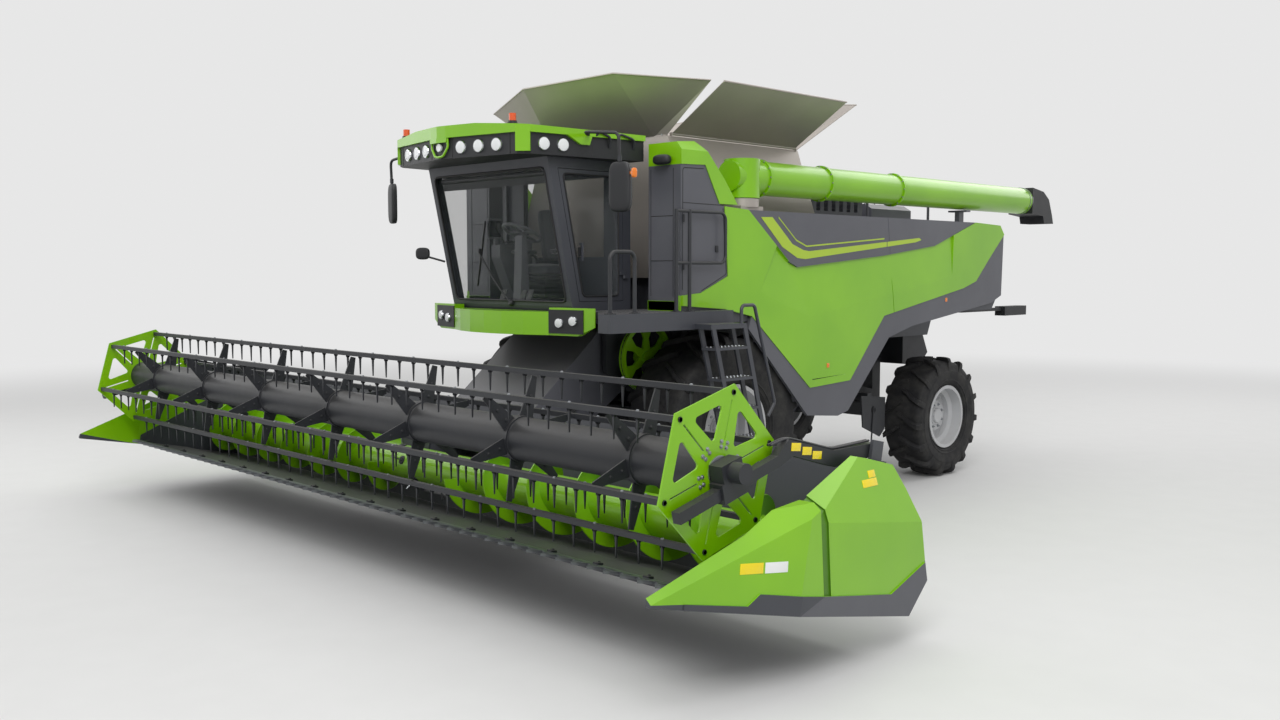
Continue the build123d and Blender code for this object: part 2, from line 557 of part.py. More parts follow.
def cab():
    outline = [(CAB_FRONT_LOW, SILL_Z), (CAB_FRONT_HIGH, CAB_TOP), (CAB_REAR, CAB_TOP), (CAB_REAR, CAB_FLOOR),
               (CAB_FRONT_LOW + 25, CAB_FLOOR)]
    ceiling = CAB_TOP - CAB_WALL
    hollow = [(CAB_FRONT_LOW + 70, SILL_Z), (CAB_FRONT_HIGH + 70, ceiling), (CAB_REAR - CAB_WALL, ceiling),
              (CAB_REAR - CAB_WALL, SILL_Z)]
    lining = CAB_HALF - CAB_WALL
    shell = side_prism(outline, -CAB_HALF, CAB_HALF) - side_prism(hollow, -lining, lining)
    shell = shell - side_prism(DOOR, -CAB_HALF - 1, CAB_HALF + 1)
    shell = shell - block((-SCREEN_HALF, SCREEN_HALF), (-3200, -2450), (WINDOW_LOW, WINDOW_HIGH))
    shell = shell - block((-600, 600), (-2100, -1900), (2600, WINDOW_HIGH - 20))
    x, y = DOOR_HINGE_X, DOOR_HINGE_Y
    lugs, eyes = [], []
    for z in (2400, 3150):
        lugs.append(block((CAB_HALF, x + 14), (y, y + 40), (z, z + 30)))
        lugs.append(rod((x, y, z), (x, y, z + 30), 14))
        lugs.append(rod((x, y, z + 30), (x, y, z + 70), DOOR_PIN_R))
        eye = joined(block((CAB_HALF, x + 14), (y - 50, y), (z + 32, z + 70)),
                     rod((x, y, z + 32), (x, y, z + 70), 12))
        eyes.append(eye - rod((x, y, z + 31), (x, y, z + 71), DOOR_PIN_R + RUN_FIT))
    save("cab_shell", joined(shell, *lugs))

    slope = (CAB_FRONT_HIGH - CAB_FRONT_LOW) / (CAB_TOP - SILL_Z)
    low, high = [CAB_FRONT_LOW + 30 + slope * (z - SILL_Z) for z in (WINDOW_LOW, WINDOW_HIGH)]
    screen = side_prism([(low, WINDOW_LOW), (low + GLASS, WINDOW_LOW), (high + GLASS, WINDOW_HIGH),
                         (high, WINDOW_HIGH)], -SCREEN_HALF, SCREEN_HALF)
    side = side_prism(DOOR, -CAB_HALF + 20, -CAB_HALF + 20 + GLASS)
    back = block((-600, 600), (-2000, -2000 + GLASS), (2600, WINDOW_HIGH - 20))
    save("cab_windows", screen, side, back)

    gap = DOOR_GAP
    leaf = [(DOOR[0][0] + gap, WINDOW_LOW + gap), (DOOR[1][0] + gap, WINDOW_HIGH - gap),
            (DOOR_HINGE_Y - gap, WINDOW_HIGH - gap), (DOOR_HINGE_Y - gap, WINDOW_LOW + gap)]
    frame = side_prism(leaf, CAB_HALF - DOOR_FRAME, CAB_HALF)
    frame = frame - side_prism(DOOR_LIGHT, CAB_HALF - DOOR_FRAME - 10, CAB_HALF + 10, rounding=40)
    handle = joined(block((CAB_HALF, CAB_HALF + 35), (-2600, -2580), (2560, 2580)),
                    block((CAB_HALF, CAB_HALF + 35), (-2600, -2580), (2700, 2720)),
                    block((CAB_HALF + 20, CAB_HALF + 35), (-2600, -2580), (2560, 2720)))
    save("door_frame", joined(frame, handle, *eyes))
    save("door_glass", side_prism(DOOR_LIGHT, CAB_HALF - 30, CAB_HALF - 30 + GLASS, rounding=40))


def cab_inside():
    base = block((-230, 230), (-2350, -2010 - CAB_WALL), (SILL_Z, 2420))
    cushion = block((-250, 250), (-2470, -2100), (2420, 2540))
    back = side_prism([(-2180, 2540), (-2100, 2540), (-2040, 3080), (-2110, 3080)], -240, 240)
    head = side_prism([(-2120, 3080), (-2040, 3080), (-2035, 3240), (-2105, 3240)], -130, 130)
    rests = [block((x - 40, x + 40), (-2420, -2120), (2620, 2680)) for x in (-290, 290)]
    stays = [block((x - 60, x + 40), (-2160, -2120), (2500, 2680)) for x in (-250, 270)]
    save("driver_seat", joined(base, cushion, back, head, *rests, *stays))

    column = side_prism([(-2600, SILL_Z), (-2480, SILL_Z), (-2520, 2800), (-2570, 2800)], -55, 55)
    wheel = Pos(0, -2530, 2830) * Rot(-25, 0, 0) * Torus(185, 16)
    spokes = [Pos(0, -2530, 2830) * Rot(-25, 0, 0) * Rot(0, 0, turn) * block((-185, 185), (-18, 18), (-8, 8))
              for turn in (0, 90)]
    console = side_prism([(-2500, 2600), (-2500, 2720), (-2100, 2760), (-2100, SILL_Z), (-2300, SILL_Z)],
                         -520, -380)
    screen = block((-500, -480), (-2560, -2400), (2780, 2980))
    stalk = block((-500, -470), (-2490, -2450), (2700, 2800))
    save("control_console", joined(column, wheel, *spokes), joined(console, screen, stalk))


def cab_roof():
    """Green cap over a dark band of lamp facets, with green posts at the front corners."""
    front, side = ROOF[2], ROOF[3]
    cap = plan_prism(with_mirror(ROOF), FASCIA_TOP, ROOF_TOP)
    for a, b, c in (
        ((450, -3500, ROOF_TOP), (450, -2000, ROOF_TOP), (1150, -2000, 3690)),
        ((-450, -2000, ROOF_TOP), (-450, -3500, ROOF_TOP), (-1150, -3500, 3690)),
    ):
        cap = cap - beyond(b, a, c)
    post = plan_prism([front, side, (side[0] - 60, side[1] + 70), (front[0] - 40, front[1] + 90)],
                      3480, FASCIA_TOP)
    fin = side_prism([(-2860, FASCIA_TOP), (-2720, 3565), (-2630, 3565), (-2600, FASCIA_TOP)], 1020, 1080)
    fin = fin & plan_prism(with_mirror(ROOF), CAB_TOP, FASCIA_TOP)
    prow = plan_prism([(0, -3490), (124, -3474), (110, -3440), (0, -3456)], 3600, FASCIA_TOP)
    pieces = [post, fin, prow]
    x, y, z = BEACON
    seats = both(rod((x, y, z), (x, y, ROOF_TOP), BEACON_R))
    save("cab_roof", joined(cap, *pieces, *[across(piece) for piece in pieces]) - joined(*seats))

    band = plan_prism(with_mirror(FASCIA), CAB_TOP, FASCIA_TOP)
    cuts = joined(*[shape for piece in pieces for shape in both(piece)])
    pod = plan_prism(POD + [(POD[1][0] - 2, POD[1][1] + 10), (POD[0][0], POD[0][1] + 10)], 1915, 2125)
    arm = block((1270, 1330), (3300, 4310), (BODY_BOTTOM - 40, BODY_BOTTOM))
    tail = joined(arm, block((1230, 1370), (4305, 4880), (1885, 2005)))
    save("lamp_housings", band - cuts, *both(pod), *both(tail))

    arc_r = 1516
    centre_y = -2990 + arc_r
    arc = [(x, centre_y - math.sqrt(arc_r ** 2 - x ** 2)) for x in (0, 240, 480, 720)]
    middle = plan_prism(with_mirror(arc + [(720, -2691)]), 1895, 2105)
    end = plan_prism([(720, -2691), (722, -2804), (1108, -2733), (1214, -2700), (1214, -2691)], 1895, 2142)
    end = end - beyond((1040, -3000, 1895), (1214, -2600, 1975), (1214, -3000, 1975))
    save("front_bumper", joined(middle, end, across(end)))


def lens(a, b, share, z, radius):
    """Round lens standing on the upright facet between two (x, y) points, at a share of its length."""
    run = Vector(*b) - Vector(*a)
    spot = Vector(*a) + run * share
    outward = Vector(run.Y, -run.X, 0).normalized() * LENS
    return rod((spot.X, spot.Y, z), (spot.X + outward.X, spot.Y + outward.Y, z), radius)


def lamps():
    """Work lamps round the roof's dark band, headlamps in the bumper, and a beacon on each side."""
    rows = [  # facet's two ends, share of its length, height, radius
        *[(*FASCIA[1:3], share, 3550, LAMP_R) for share in (0.20, 0.46, 0.72)],
        *[(*FASCIA[3:5], share, 3552, LAMP_R) for share in (0.29, 0.73)],
        *[(*POD, share, z, HEADLAMP_R) for share, z in ((0.32, 2008), (0.72, 2028))],
    ]
    x, y, z = BEACON
    beacon = joined(rod(BEACON, (x, y, z + 28), BEACON_R), rod((x, y, z + 28), (x, y, z + 105), BEACON_R - 9))
    prow = lens((-FASCIA[1][0], FASCIA[0][1]), (FASCIA[1][0], FASCIA[0][1]), 0.5, 3560, 34)
    save("lamps", *[shape for row in rows for shape in both(lens(*row))], *both(beacon), prow)


def outside_fittings():
    front = [(1228, -2640), (1228, -2675), (1530, -2950), (PLATFORM_OUT, -2960)]
    deck = plan_prism([(CAB_HALF, -2640), *front, (PLATFORM_OUT, -1410), (CAB_HALF, -1410)],
                      DECK_TOP - DECK_SHEET, DECK_TOP)
    fascia = block((PLATFORM_OUT - 40, PLATFORM_OUT), (-2960, -1410), (1950, DECK_TOP - 50))
    nose = plan_prism(front[1:] + [(PLATFORM_OUT, -2925), (1542, -2915), (1240, -2640)], 1950, DECK_TOP - 50)
    inner, outer = PLATFORM_OUT + 30, LADDER_OUT
    lean = 0.285
    stringers, steps = [], []
    for y_top in (-1935, -1510):
        stringers.append(side_prism([(y_top, 2000), (y_top + 50, 2000), (y_top + 50 + lean * 1400, 600),
                                     (y_top + lean * 1400, 600)], outer - 20, outer))
        stringers.append(side_prism([(y_top, 2000), (y_top + 50, 2000), (y_top + 50 + lean * 1400, 600),
                                     (y_top + lean * 1400, 600)], inner, inner + 20))
    for n in range(5):
        z = 1790 - 280 * n
        y = -1935 + lean * (2000 - z)
        steps.append(block((inner, outer), (y, y + 470), (z - 25, z)))
    tie = block((PLATFORM_OUT - 40, outer), (-1935, -1460), (1955, 2000))
    grab = bent_tube([(outer - 10, -1520, 1990), (outer - 10, -1520, 2160), (outer - 10, -1340, 2160),
                      (outer - 10, -1035, 1240), (outer - 10, -1130, 1120)], 16, 45)
    right = block((-PLATFORM_OUT + 90, -CAB_HALF), (TOWER_FRONT, -1410), (DECK_TOP - DECK_SHEET, DECK_TOP))
    save("platform", joined(deck, fascia, nose, tie, grab, *stringers, *steps), right)

    x = PLATFORM_OUT - 40
    arch = [(x, -2925, DECK_TOP), (x, -2925, 2630), (x, -2640, 2630), (x, -2640, DECK_TOP)]
    posts = [rod((x, y, DECK_TOP), (x, y, 3010), 17) for y in (-2130, -1960)]
    loop = bent_tube([(x, -2130, 2995), (x, -1480, 2995), (x, -1480, 2540), (x, -2130, 2540)], 14, 70)
    save("handrails", bent_tube(arch, 17, 70), joined(*posts, loop))

    head = Pos(MIRROR_X, -2860, 3160) * Rot(0, 0, 20) * Box(200, 75, 410)
    head = fillet(head.edges().filter_by(Axis.Z), 30).solid()
    arm = bent_tube([(1030, -2620, 3660), (1300, -2880, 3640), (MIRROR_X, -2880, 3600),
                     (MIRROR_X, -2870, 3350)], 14, 60)
    left = joined(head, arm) - plan_prism(with_mirror(ROOF), CAB_TOP, ROOF_TOP)
    ends = (1310, -2062, 3455), (1500, -2062, 3455)
    bulb = rod(*ends, 47)
    bulb = joined(fillet(bulb.edges().filter_by(GeomType.CIRCLE), 40).solid(),
                  block((1380, 1430), (-2062, TOWER_FRONT), (3440, 3470)))
    low = Pos(-1120, -2900, 2640) * Rot(0, 0, -30) * Box(150, 50, 120)
    low_arm = rod((-CAB_HALF, -2790, 2560), (-1110, -2895, 2620), 10)
    low = joined(low, low_arm) - block((-CAB_HALF, 0), (-4000, 0), (0, 9000))
    save("mirrors", left, across(left), low, *both(bulb))


# ================================================================ header
def feeder_house():
    side = [(BACK_Y + BACK_SHEET / 2, 80), (BACK_Y + BACK_SHEET / 2, 740), (-2130, 1872), (-1680, 1390)]
    shell = joined(side_prism(side, -FEEDER_HALF, FEEDER_HALF),
                   rod((-FEEDER_HALF, PIVOT_Y, PIVOT_Z), (FEEDER_HALF, PIVOT_Y, PIVOT_Z), DRUM_R))
    throat = side_prism([(BACK_Y + 5, 110), (BACK_Y + 5, 710), (-2400, 1430), (-2000, 1070)],
                        FEEDER_WALL - FEEDER_HALF, FEEDER_HALF - FEEDER_WALL)
    bore_r = PIVOT_PIN_R + RUN_FIT
    bore = rod((-FEEDER_HALF - 1, PIVOT_Y, PIVOT_Z), (FEEDER_HALF + 1, PIVOT_Y, PIVOT_Z), bore_r)
    eye_y, eye_z = LIFT_EYE
    lug = [(-2640, 450), (-2320, 765), (eye_y + 35, eye_z - 35), (eye_y - 35, eye_z - 35)]
    lugs = [side_prism(lug, x, x + 20) for x in (LIFT_X - LIFT_FORK, LIFT_X + LIFT_FORK - 20)]
    pin = rod((LIFT_X - LIFT_FORK, eye_y, eye_z), (LIFT_X + LIFT_FORK, eye_y, eye_z), 25)
    half = lugs + [pin]
    save("feeder_house", RAISED * joined(shell - throat - bore, *half, *[across(piece) for piece in half]))


def header_frame():
    rear = BACK_Y + BACK_SHEET / 2
    back = block((-HEADER_HALF, HEADER_HALF), (BACK_Y - BACK_SHEET / 2, rear), (PAN_Z, 960)) - \
        block((FEEDER_WALL - FEEDER_HALF, FEEDER_HALF - FEEDER_WALL), (BACK_Y - 20, BACK_Y + 20), (110, 710))
    beam = block((-HEADER_HALF, HEADER_HALF), (rear, rear + 120), (905, 1000))
    sill = block((-HEADER_HALF, HEADER_HALF), (rear, rear + 100), (PAN_Z, 80))
    floor = [(KNIFE_Y + 20, PAN_Z), (KNIFE_Y + 20, PAN_Z + 24), (KNIFE_Y + 520, PAN_Z + 24),
             (KNIFE_Y + 660, PAN_Z + 10), (BACK_Y, PAN_Z + 10), (BACK_Y, PAN_Z)]
    pan = side_prism(floor, -HEADER_HALF, HEADER_HALF)
    cheek = [(KNIFE_Y, PAN_Z), (KNIFE_Y, PAN_Z + 100), (-3700, 500), (BACK_Y, 960), (BACK_Y, PAN_Z)]
    ends = side_prism(cheek, HEADER_HALF - SIDE_SHEET, HEADER_HALF)
    lug = block((ARM_X[1] + 5, ARM_X[1] + 30), (rear, rear + 120), (900, ARM_PIVOT_Z + 60))
    pin = rod((ARM_X[0] - 10, ARM_PIVOT_Y, ARM_PIVOT_Z), (ARM_X[1] + 30, ARM_PIVOT_Y, ARM_PIVOT_Z), ARM_PIN_R)
    bore_r = AUGER_STUB_R + RUN_FIT
    bore = rod((HEADER_HALF - 30, AUGER_Y, AUGER_Z), (HEADER_HALF + 1, AUGER_Y, AUGER_Z), bore_r)
    rib = [(rear, 80), (rear + 100, 80), (rear + 60, 500), (rear + 110, 905), (rear, 905)]
    span = HEADER_HALF - FEEDER_HALF - 300
    stations = [FEEDER_HALF + 150 + span * n / 4 for n in range(5)]
    ribs = [side_prism(rib, x, x + 12) for x in stations]
    half = [ends - bore, lug, pin, *ribs]
    save("header_frame", RAISED * joined(back, beam, sill, pan, *half, *[across(piece) for piece in half]))

    inner = HEADER_HALF - SIDE_SHEET
    count = 2 * int((inner - 50) / GUARD_PITCH)
    teeth = [(-inner, KNIFE_Y + 20), (-inner, KNIFE_Y - 40)]
    for n in range(count):
        x = (n - (count - 1) / 2) * GUARD_PITCH
        teeth += [(x - 24, KNIFE_Y - 40), (x - 12, KNIFE_Y - 120), (x, KNIFE_Y - 160),
                  (x + 12, KNIFE_Y - 120), (x + 24, KNIFE_Y - 40)]
    teeth += [(inner, KNIFE_Y - 40), (inner, KNIFE_Y + 20)]
    save("cutter_bar", RAISED * plan_prism(teeth, PAN_Z + 24, PAN_Z + 46))


def dividers():
    """Faceted nose and rear shield on each end of the header, a sunk seam between, a skirt below."""
    inner, out = HEADER_HALF, DIVIDER_OUT
    floor, skirt = 18, 10
    tip_y, tip_z = -4895, 70
    nose = [(tip_y + 10, floor), (tip_y, tip_z), (-4064, 600), (-3771, 690), (-3562, floor)]
    rear = [(-3690, floor), (-3771, 690), (-3330, 1001), (-3190, 1001), (-2885, 988), (-2765, 849),
            (-2627, 654), (-2519, 391), (-2473, 258), (-2645, floor)]
    plan = [(inner - 90, tip_y - 20), (inner - 55, tip_y - 20), (out, -3841), (out, -2400), (inner, -2400),
            (inner, -4250)]
    nose_top, knee = (inner - 15, -4064, 600), (out, -3841, 593)
    front = side_prism(nose, inner - 100, out) & plan_prism(plan, 0, 1200)
    front = front - beyond((inner - 90, tip_y, tip_z), knee, nose_top)
    back = side_prism(rear, inner, out)
    back = back - beyond((out, -3730, 576), (out, -2620, 641), (inner + 40, -3050, 1000))
    back = back - beyond((inner, -3738, 702), (inner + 120, -3499, 800), (inner, -3332, 985))
    shield = joined(front, back)
    band = side_prism([(-3800, 760), (-3725, 760), (-3506, floor - 5), (-3580, floor - 5)], inner, out + 1)
    lower = side_prism([(tip_y + 10, floor), (tip_y + 5, 48), (-4236, 62), (-4159, 135), (-3617, 139),
                        (-2893, 160), (-2528, 378), (-2473, 258), (-2645, floor)], inner, out + skirt)
    under = [(inner, -4250), (inner - 45, tip_y), (out + skirt, -3841), (out + skirt, -2400), (inner, -2400)]
    seam = band & (shield - Pos(-SEAM, 0, -SEAM) * shield)
    divider = joined(shield - seam, lower & plan_prism(under, 0, 500))
    save("divider_left", RAISED * divider)
    save("divider_right", RAISED * across(divider))


def flight(x_from, x_to, pitch, hand):
    """Auger flight between two x values, as straight-sided steps of a helix."""
    steps_per_turn = 12
    steps = round(abs(x_to - x_from) / pitch * steps_per_turn)
    wires = []
    for n in range(steps + 1):
        x = x_from + (x_to - x_from) * n / steps
        angle = hand * 2 * math.pi * n / steps_per_turn
        corners = []
        for dx, r in ((-4, AUGER_TUBE_R - 12), (-4, AUGER_R), (4, AUGER_R), (4, AUGER_TUBE_R - 12)):
            corners.append((x + dx, AUGER_Y + r * math.sin(angle), AUGER_Z + r * math.cos(angle)))
        wires.append(Wire.make_polygon(corners, close=True))
    return Solid.make_loft(wires, ruled=True)


def feed_auger():
    """Tube with a flight of each hand that carries to the middle, and fingers that push into the feeder."""
    end = HEADER_HALF - SIDE_SHEET - 10
    tube = rod((-end, AUGER_Y, AUGER_Z), (end, AUGER_Y, AUGER_Z), AUGER_TUBE_R)
    stub = rod((-HEADER_HALF, AUGER_Y, AUGER_Z), (HEADER_HALF, AUGER_Y, AUGER_Z), AUGER_STUB_R)
    left = flight(end - 10, FEEDER_HALF, AUGER_PITCH, 1)
    fingers = []
    for n in range(6):
        turn = math.radians(60 * n + 20)
        x = -450 + 180 * n
        tip = (x, AUGER_Y - (AUGER_R - 20) * math.sin(turn), AUGER_Z + (AUGER_R - 20) * math.cos(turn))
        fingers.append(rod((x, AUGER_Y, AUGER_Z), tip, FINGER_R))
    save("feed_auger", RAISED * joined(tube, stub, left, across(left), *fingers))


# ================================================================ reel
def on_reel(angle, radius):
    """Point at an angle from +Z towards -Y about the reel's axle."""
    turn = math.radians(angle)
    return (REEL_Y - radius * math.sin(turn), REEL_Z + radius * math.cos(turn))


REEL_ANGLES = [REEL_PHASE + 360 / REEL_BARS * n for n in range(REEL_BARS)]


def reel():
    """Tube with spiders, and an end plate on each side that carries the tine bars' pins."""
    tube = rod((-REEL_HALF, REEL_Y, REEL_Z), (REEL_HALF, REEL_Y, REEL_Z), REEL_TUBE_R)
    shaft = rod((-ARM_X[1] - 35, REEL_Y, REEL_Z), (ARM_X[1] + 35, REEL_Y, REEL_Z), REEL_SHAFT_R)
    near, far = REEL_TUBE_R - 15, REEL_BAR_R - BAR_HALF * 1.42 - 3
    pieces = []
    for station in range(SPIDERS):
        x = (station - (SPIDERS - 1) / 2) * 2 * REEL_HALF / SPIDERS
        pieces.append(rod((x - 30, REEL_Y, REEL_Z), (x + 30, REEL_Y, REEL_Z), REEL_TUBE_R + 12))
        for angle in REEL_ANGLES:
            arm = side_prism([(-62, near), (-22, far), (22, far), (62, near)], x - 5, x + 5)
            pieces.append(Pos(0, REEL_Y, REEL_Z) * Rot(angle, 0, 0) * arm)
    save("reel_frame", RAISED * joined(tube, shaft, *pieces))

    low, high = REEL_HALF, REEL_HALF + REEL_PLATE
    plate = side_prism([on_reel(angle, REEL_BAR_R + 50) for angle in REEL_ANGLES], low, high)
    windows, slots, holes = [], [], []
    for angle in REEL_ANGLES:
        places = ((angle + 30, 172), (angle + 10, REEL_BAR_R - 72), (angle + 50, REEL_BAR_R - 72))
        corners = [on_reel(turn, radius) for turn, radius in places]
        windows.append(side_prism(corners, low - 1, high + 1, rounding=24))
        slot = block((low - 1, high + 1), (-6, 6), (185, REEL_BAR_R - 45))
        slots.append(Pos(0, REEL_Y, REEL_Z) * Rot(angle, 0, 0) * slot)
        y, z = on_reel(angle, REEL_BAR_R)
        holes.append(rod((low - 1, y, z), (high + 1, y, z), BAR_PIN_R + 2))
    shaft_hole = rod((low - 1, REEL_Y, REEL_Z), (high + 1, REEL_Y, REEL_Z), REEL_SHAFT_R)
    plate = plate - joined(*windows, *slots, *holes, shaft_hole)
    save("reel_plates", *both(RAISED * plate))


def tine_bars():
    half = REEL_HALF - 5
    count = 2 * int((half - 25) / TINE_PITCH)
    fingers = []
    for n in range(count):
        x = (n - (count - 1) / 2) * TINE_PITCH
        fingers.append(cross_prism([(x - 12, 0), (x, -BAR_HALF - TINE), (x + 12, 0)], -6, 6))
    bar = block((-half, half), (-BAR_HALF, BAR_HALF), (-BAR_HALF, BAR_HALF))
    pins = [rod((x, 0, 0), (x + 26, 0, 0), BAR_PIN_R) for x in (-half - 25, half - 1)]
    bar = joined(bar, *fingers, *pins)
    upright = Rot(HEADER_RAISE, 0, 0)
    for n, angle in enumerate(REEL_ANGLES):
        y, z = on_reel(angle, REEL_BAR_R)
        save(f"tine_bar_{n + 1}", RAISED * (Pos(0, y, z) * upright * bar))


def reel_arms():
    """Arm with a sloping rail at its front, and the slide on that rail which holds the reel's bearing."""
    slope = math.atan2(380, 770)
    along = Vector(0, -math.cos(slope), -math.sin(slope))
    normal = Vector(0, -math.sin(slope), math.cos(slope))
    centre = Vector(0, REEL_Y, REEL_Z)

    def strip(a, b, half_depth, x_low, x_high):
        rise = normal * half_depth
        return side_prism([(p.Y, p.Z) for p in (a + rise, b + rise, b - rise, a - rise)], x_low, x_high)

    rail_front = centre + along * 460 - normal * 90
    rail_back = centre - along * 430 - normal * 90
    lower = strip(rail_front, rail_back, 35, *ARM_X)
    top, bottom = rail_back + normal * 35, rail_back - normal * 35
    arch = side_prism([(top.Y, top.Z), (-3870, 1040), (-3390, 1020), (ARM_PIVOT_Y + 10, ARM_PIVOT_Z + 45),
                       (ARM_PIVOT_Y + 45, ARM_PIVOT_Z), (ARM_PIVOT_Y + 10, ARM_PIVOT_Z - 45), (-3360, 915),
                       (-3800, 945), (bottom.Y, bottom.Z)], *ARM_X)
    y, z = ARM_PIVOT_Y, ARM_PIVOT_Z
    bore = rod((ARM_X[0] - 1, y, z), (ARM_X[1] + 1, y, z), ARM_PIN_R + RUN_FIT)
    save("reel_arms", *both(RAISED * (joined(lower, arch) - bore)))

    wide = (ARM_X[0] - 20, ARM_X[1] + 20)
    a, b = centre + along * 110 - normal * 90, centre - along * 110 - normal * 90
    saddle = strip(a, b, 60, *wide) - strip(a + along, b - along, 36, ARM_X[0] - 1, ARM_X[1] + 1)
    housing = strip(centre + along * 90 + normal * 20, centre - along * 90 + normal * 20, 55, *wide)
    motor = rod((ARM_X[1] + 20, REEL_Y, REEL_Z + 10), (ARM_X[1] + 110, REEL_Y, REEL_Z + 10), 62)
    shaft = rod((ARM_X[0] - 30, REEL_Y, REEL_Z), (ARM_X[1] + 60, REEL_Y, REEL_Z), REEL_SHAFT_R + RUN_FIT)
    save("reel_slides", *both(RAISED * (joined(saddle, housing, motor) - shaft)))


# ================================================================ lift cylinders
def lift_cylinders():
    base = Vector(LIFT_X, *LIFT_BASE)
    tip = (RAISED * Pos(LIFT_X, *LIFT_EYE)).position
    run = (tip - base).normalized()

    def along(start, distance):
        return tuple(start + run * distance)

    def eye(centre, bore):
        low, high = LIFT_X - LIFT_EYE_HALF, LIFT_X + LIFT_EYE_HALF
        hole = rod((low - 1, centre.Y, centre.Z), (high + 1, centre.Y, centre.Z), bore)
        return rod((low, centre.Y, centre.Z), (high, centre.Y, centre.Z), LIFT_EYE_R), hole

    length = 880
    ring, hole = eye(base, LIFT_ROD_R + RUN_FIT)
    neck = rod(along(base, 40), along(base, 130), LIFT_ROD_R)
    barrel = joined(ring, neck, rod(along(base, 120), along(base, length), 55))
    save("lift_barrels", *both(barrel - rod(along(base, 200), along(base, length + 1), LIFT_BORE_R) - hole))
    ring, hole = eye(tip, 38)
    save("lift_rods", *both(joined(ring, rod(along(base, 430), along(tip, -20), LIFT_ROD_R)) - hole))


def unloading_auger():
    top = UNLOAD_Z + UNLOAD_R
    elbow = rod((SPOUT_X, SWING_Y, 3156), (SPOUT_X, SWING_Y, top), UNLOAD_R + 8)
    tube = rod((SPOUT_X, SWING_Y, UNLOAD_Z), (SPOUT_X, UNLOAD_END, UNLOAD_Z), UNLOAD_R)
    nose = rod((SPOUT_X, SWING_Y - 190, UNLOAD_Z), (SPOUT_X, SWING_Y, UNLOAD_Z), UNLOAD_R - 20)
    flanges = [rod((SPOUT_X, y - 15, UNLOAD_Z), (SPOUT_X, y + 15, UNLOAD_Z), UNLOAD_R + 18)
               for y in (-760, 235, 1555)]
    bore = rod((SPOUT_X, SWING_Y, 3100), (SPOUT_X, SWING_Y, 3216), SPIGOT_R + RUN_FIT)
    save("unload_tube", joined(elbow, tube, nose, *flanges) - bore)
    hood = [(UNLOAD_END, UNLOAD_Z + UNLOAD_R), (4830, UNLOAD_Z + 125), (4985, UNLOAD_Z + 30), (5080, 3190),
            (5120, 3080), (4860, 3080), (4830, 3170), (UNLOAD_END, UNLOAD_Z - UNLOAD_R)]
    hood = side_prism(hood, SPOUT_X - UNLOAD_R, SPOUT_X + UNLOAD_R)
    mouth = block((SPOUT_X - 150, SPOUT_X + 150), (4875, 5095), (3070, 3150))
    save("unload_spout", hood - mouth)


wheels()
front_axle()
rear_axle()
separator()
side_panels()
chassis()
grain_tank()
tank_extension()
towers()
rear_machinery()
cab()
cab_inside()
cab_roof()
lamps()
outside_fittings()
feeder_house()
header_frame()
dividers()
feed_auger()
reel()
tine_bars()
reel_arms()
lift_cylinders()
unloading_auger()
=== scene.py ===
"""The looks of a combine harvester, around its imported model: finishes, trim, lamps and bodywork."""
import math

import bmesh
import bpy
from mathutils import Matrix, Vector
from mathutils.bvhtree import BVHTree


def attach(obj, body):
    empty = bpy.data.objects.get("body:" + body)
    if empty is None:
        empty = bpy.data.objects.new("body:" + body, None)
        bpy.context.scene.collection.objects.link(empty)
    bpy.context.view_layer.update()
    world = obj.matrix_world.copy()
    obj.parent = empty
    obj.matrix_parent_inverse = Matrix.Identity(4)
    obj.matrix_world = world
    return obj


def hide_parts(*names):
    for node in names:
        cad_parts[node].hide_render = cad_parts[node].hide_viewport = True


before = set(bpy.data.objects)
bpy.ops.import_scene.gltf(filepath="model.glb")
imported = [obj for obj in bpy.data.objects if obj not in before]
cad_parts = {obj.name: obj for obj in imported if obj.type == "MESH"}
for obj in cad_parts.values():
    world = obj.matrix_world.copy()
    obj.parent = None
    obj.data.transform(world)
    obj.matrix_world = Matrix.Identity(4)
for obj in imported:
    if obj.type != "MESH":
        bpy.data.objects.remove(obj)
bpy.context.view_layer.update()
MM = 0.001
SIDES = ((1, "left"), (-1, "right"))  # the machine's left is where x is positive

# Driving dimensions in millimetres, as in the part's source
FRONT_AXLE_Y, REAR_AXLE_Y = -1115, 2825
FRONT_TYRE = (940, 690, 420, 16)  # radius, width, rim radius, lugs on each side
REAR_TYRE = (715, 520, 350, 15)
FRONT_TRACK_X, REAR_TRACK_X = 1190, 1205
LUG_HEIGHT = 45
BODY_HALF, PANEL_OUT = 1560, 1600
DECK_TOP = 2110
TANK_FRONT, TANK_REAR = -1505, 490
TANK_MOUTH_HALF, TANK_MOUTH_Z = 940, 3750
FLAP_TOP_X, FLAP_TOP_Z = 1600, 4190
TOWER_IN, TOWER_FRONT = 1190, -2015
PLATFORM_OUT = 1690
CAB_HALF, SILL_Z, CAB_TOP = 900, 2150, 3460
CAB_FRONT_LOW, CAB_FRONT_HIGH = -2685, -2965
WINDOW_LOW, WINDOW_HIGH, SCREEN_HALF = 2190, 3370, 830
FASCIA = [(0, -3450), (110, -3440), (895, -3290), (975, -3211), (1035, -2775), (1125, -2015)]
POD = [(724, -2815), (1108, -2744)]
LAMP_R, HEADLAMP_R = 50, 36
MIRROR_X = 1710
PIVOT_Y, PIVOT_Z, HEADER_RAISE = -1915, 1620, 12
HEADER_HALF, DIVIDER_OUT, FEEDER_HALF = 4400, 4560, 600
AUGER_Y, AUGER_Z, AUGER_R, AUGER_TUBE_R, AUGER_PITCH = -3350, 370, 300, 160, 560
PAN_Z, KNIFE_Y, SECTION_PITCH = 20, -4220, 76.2
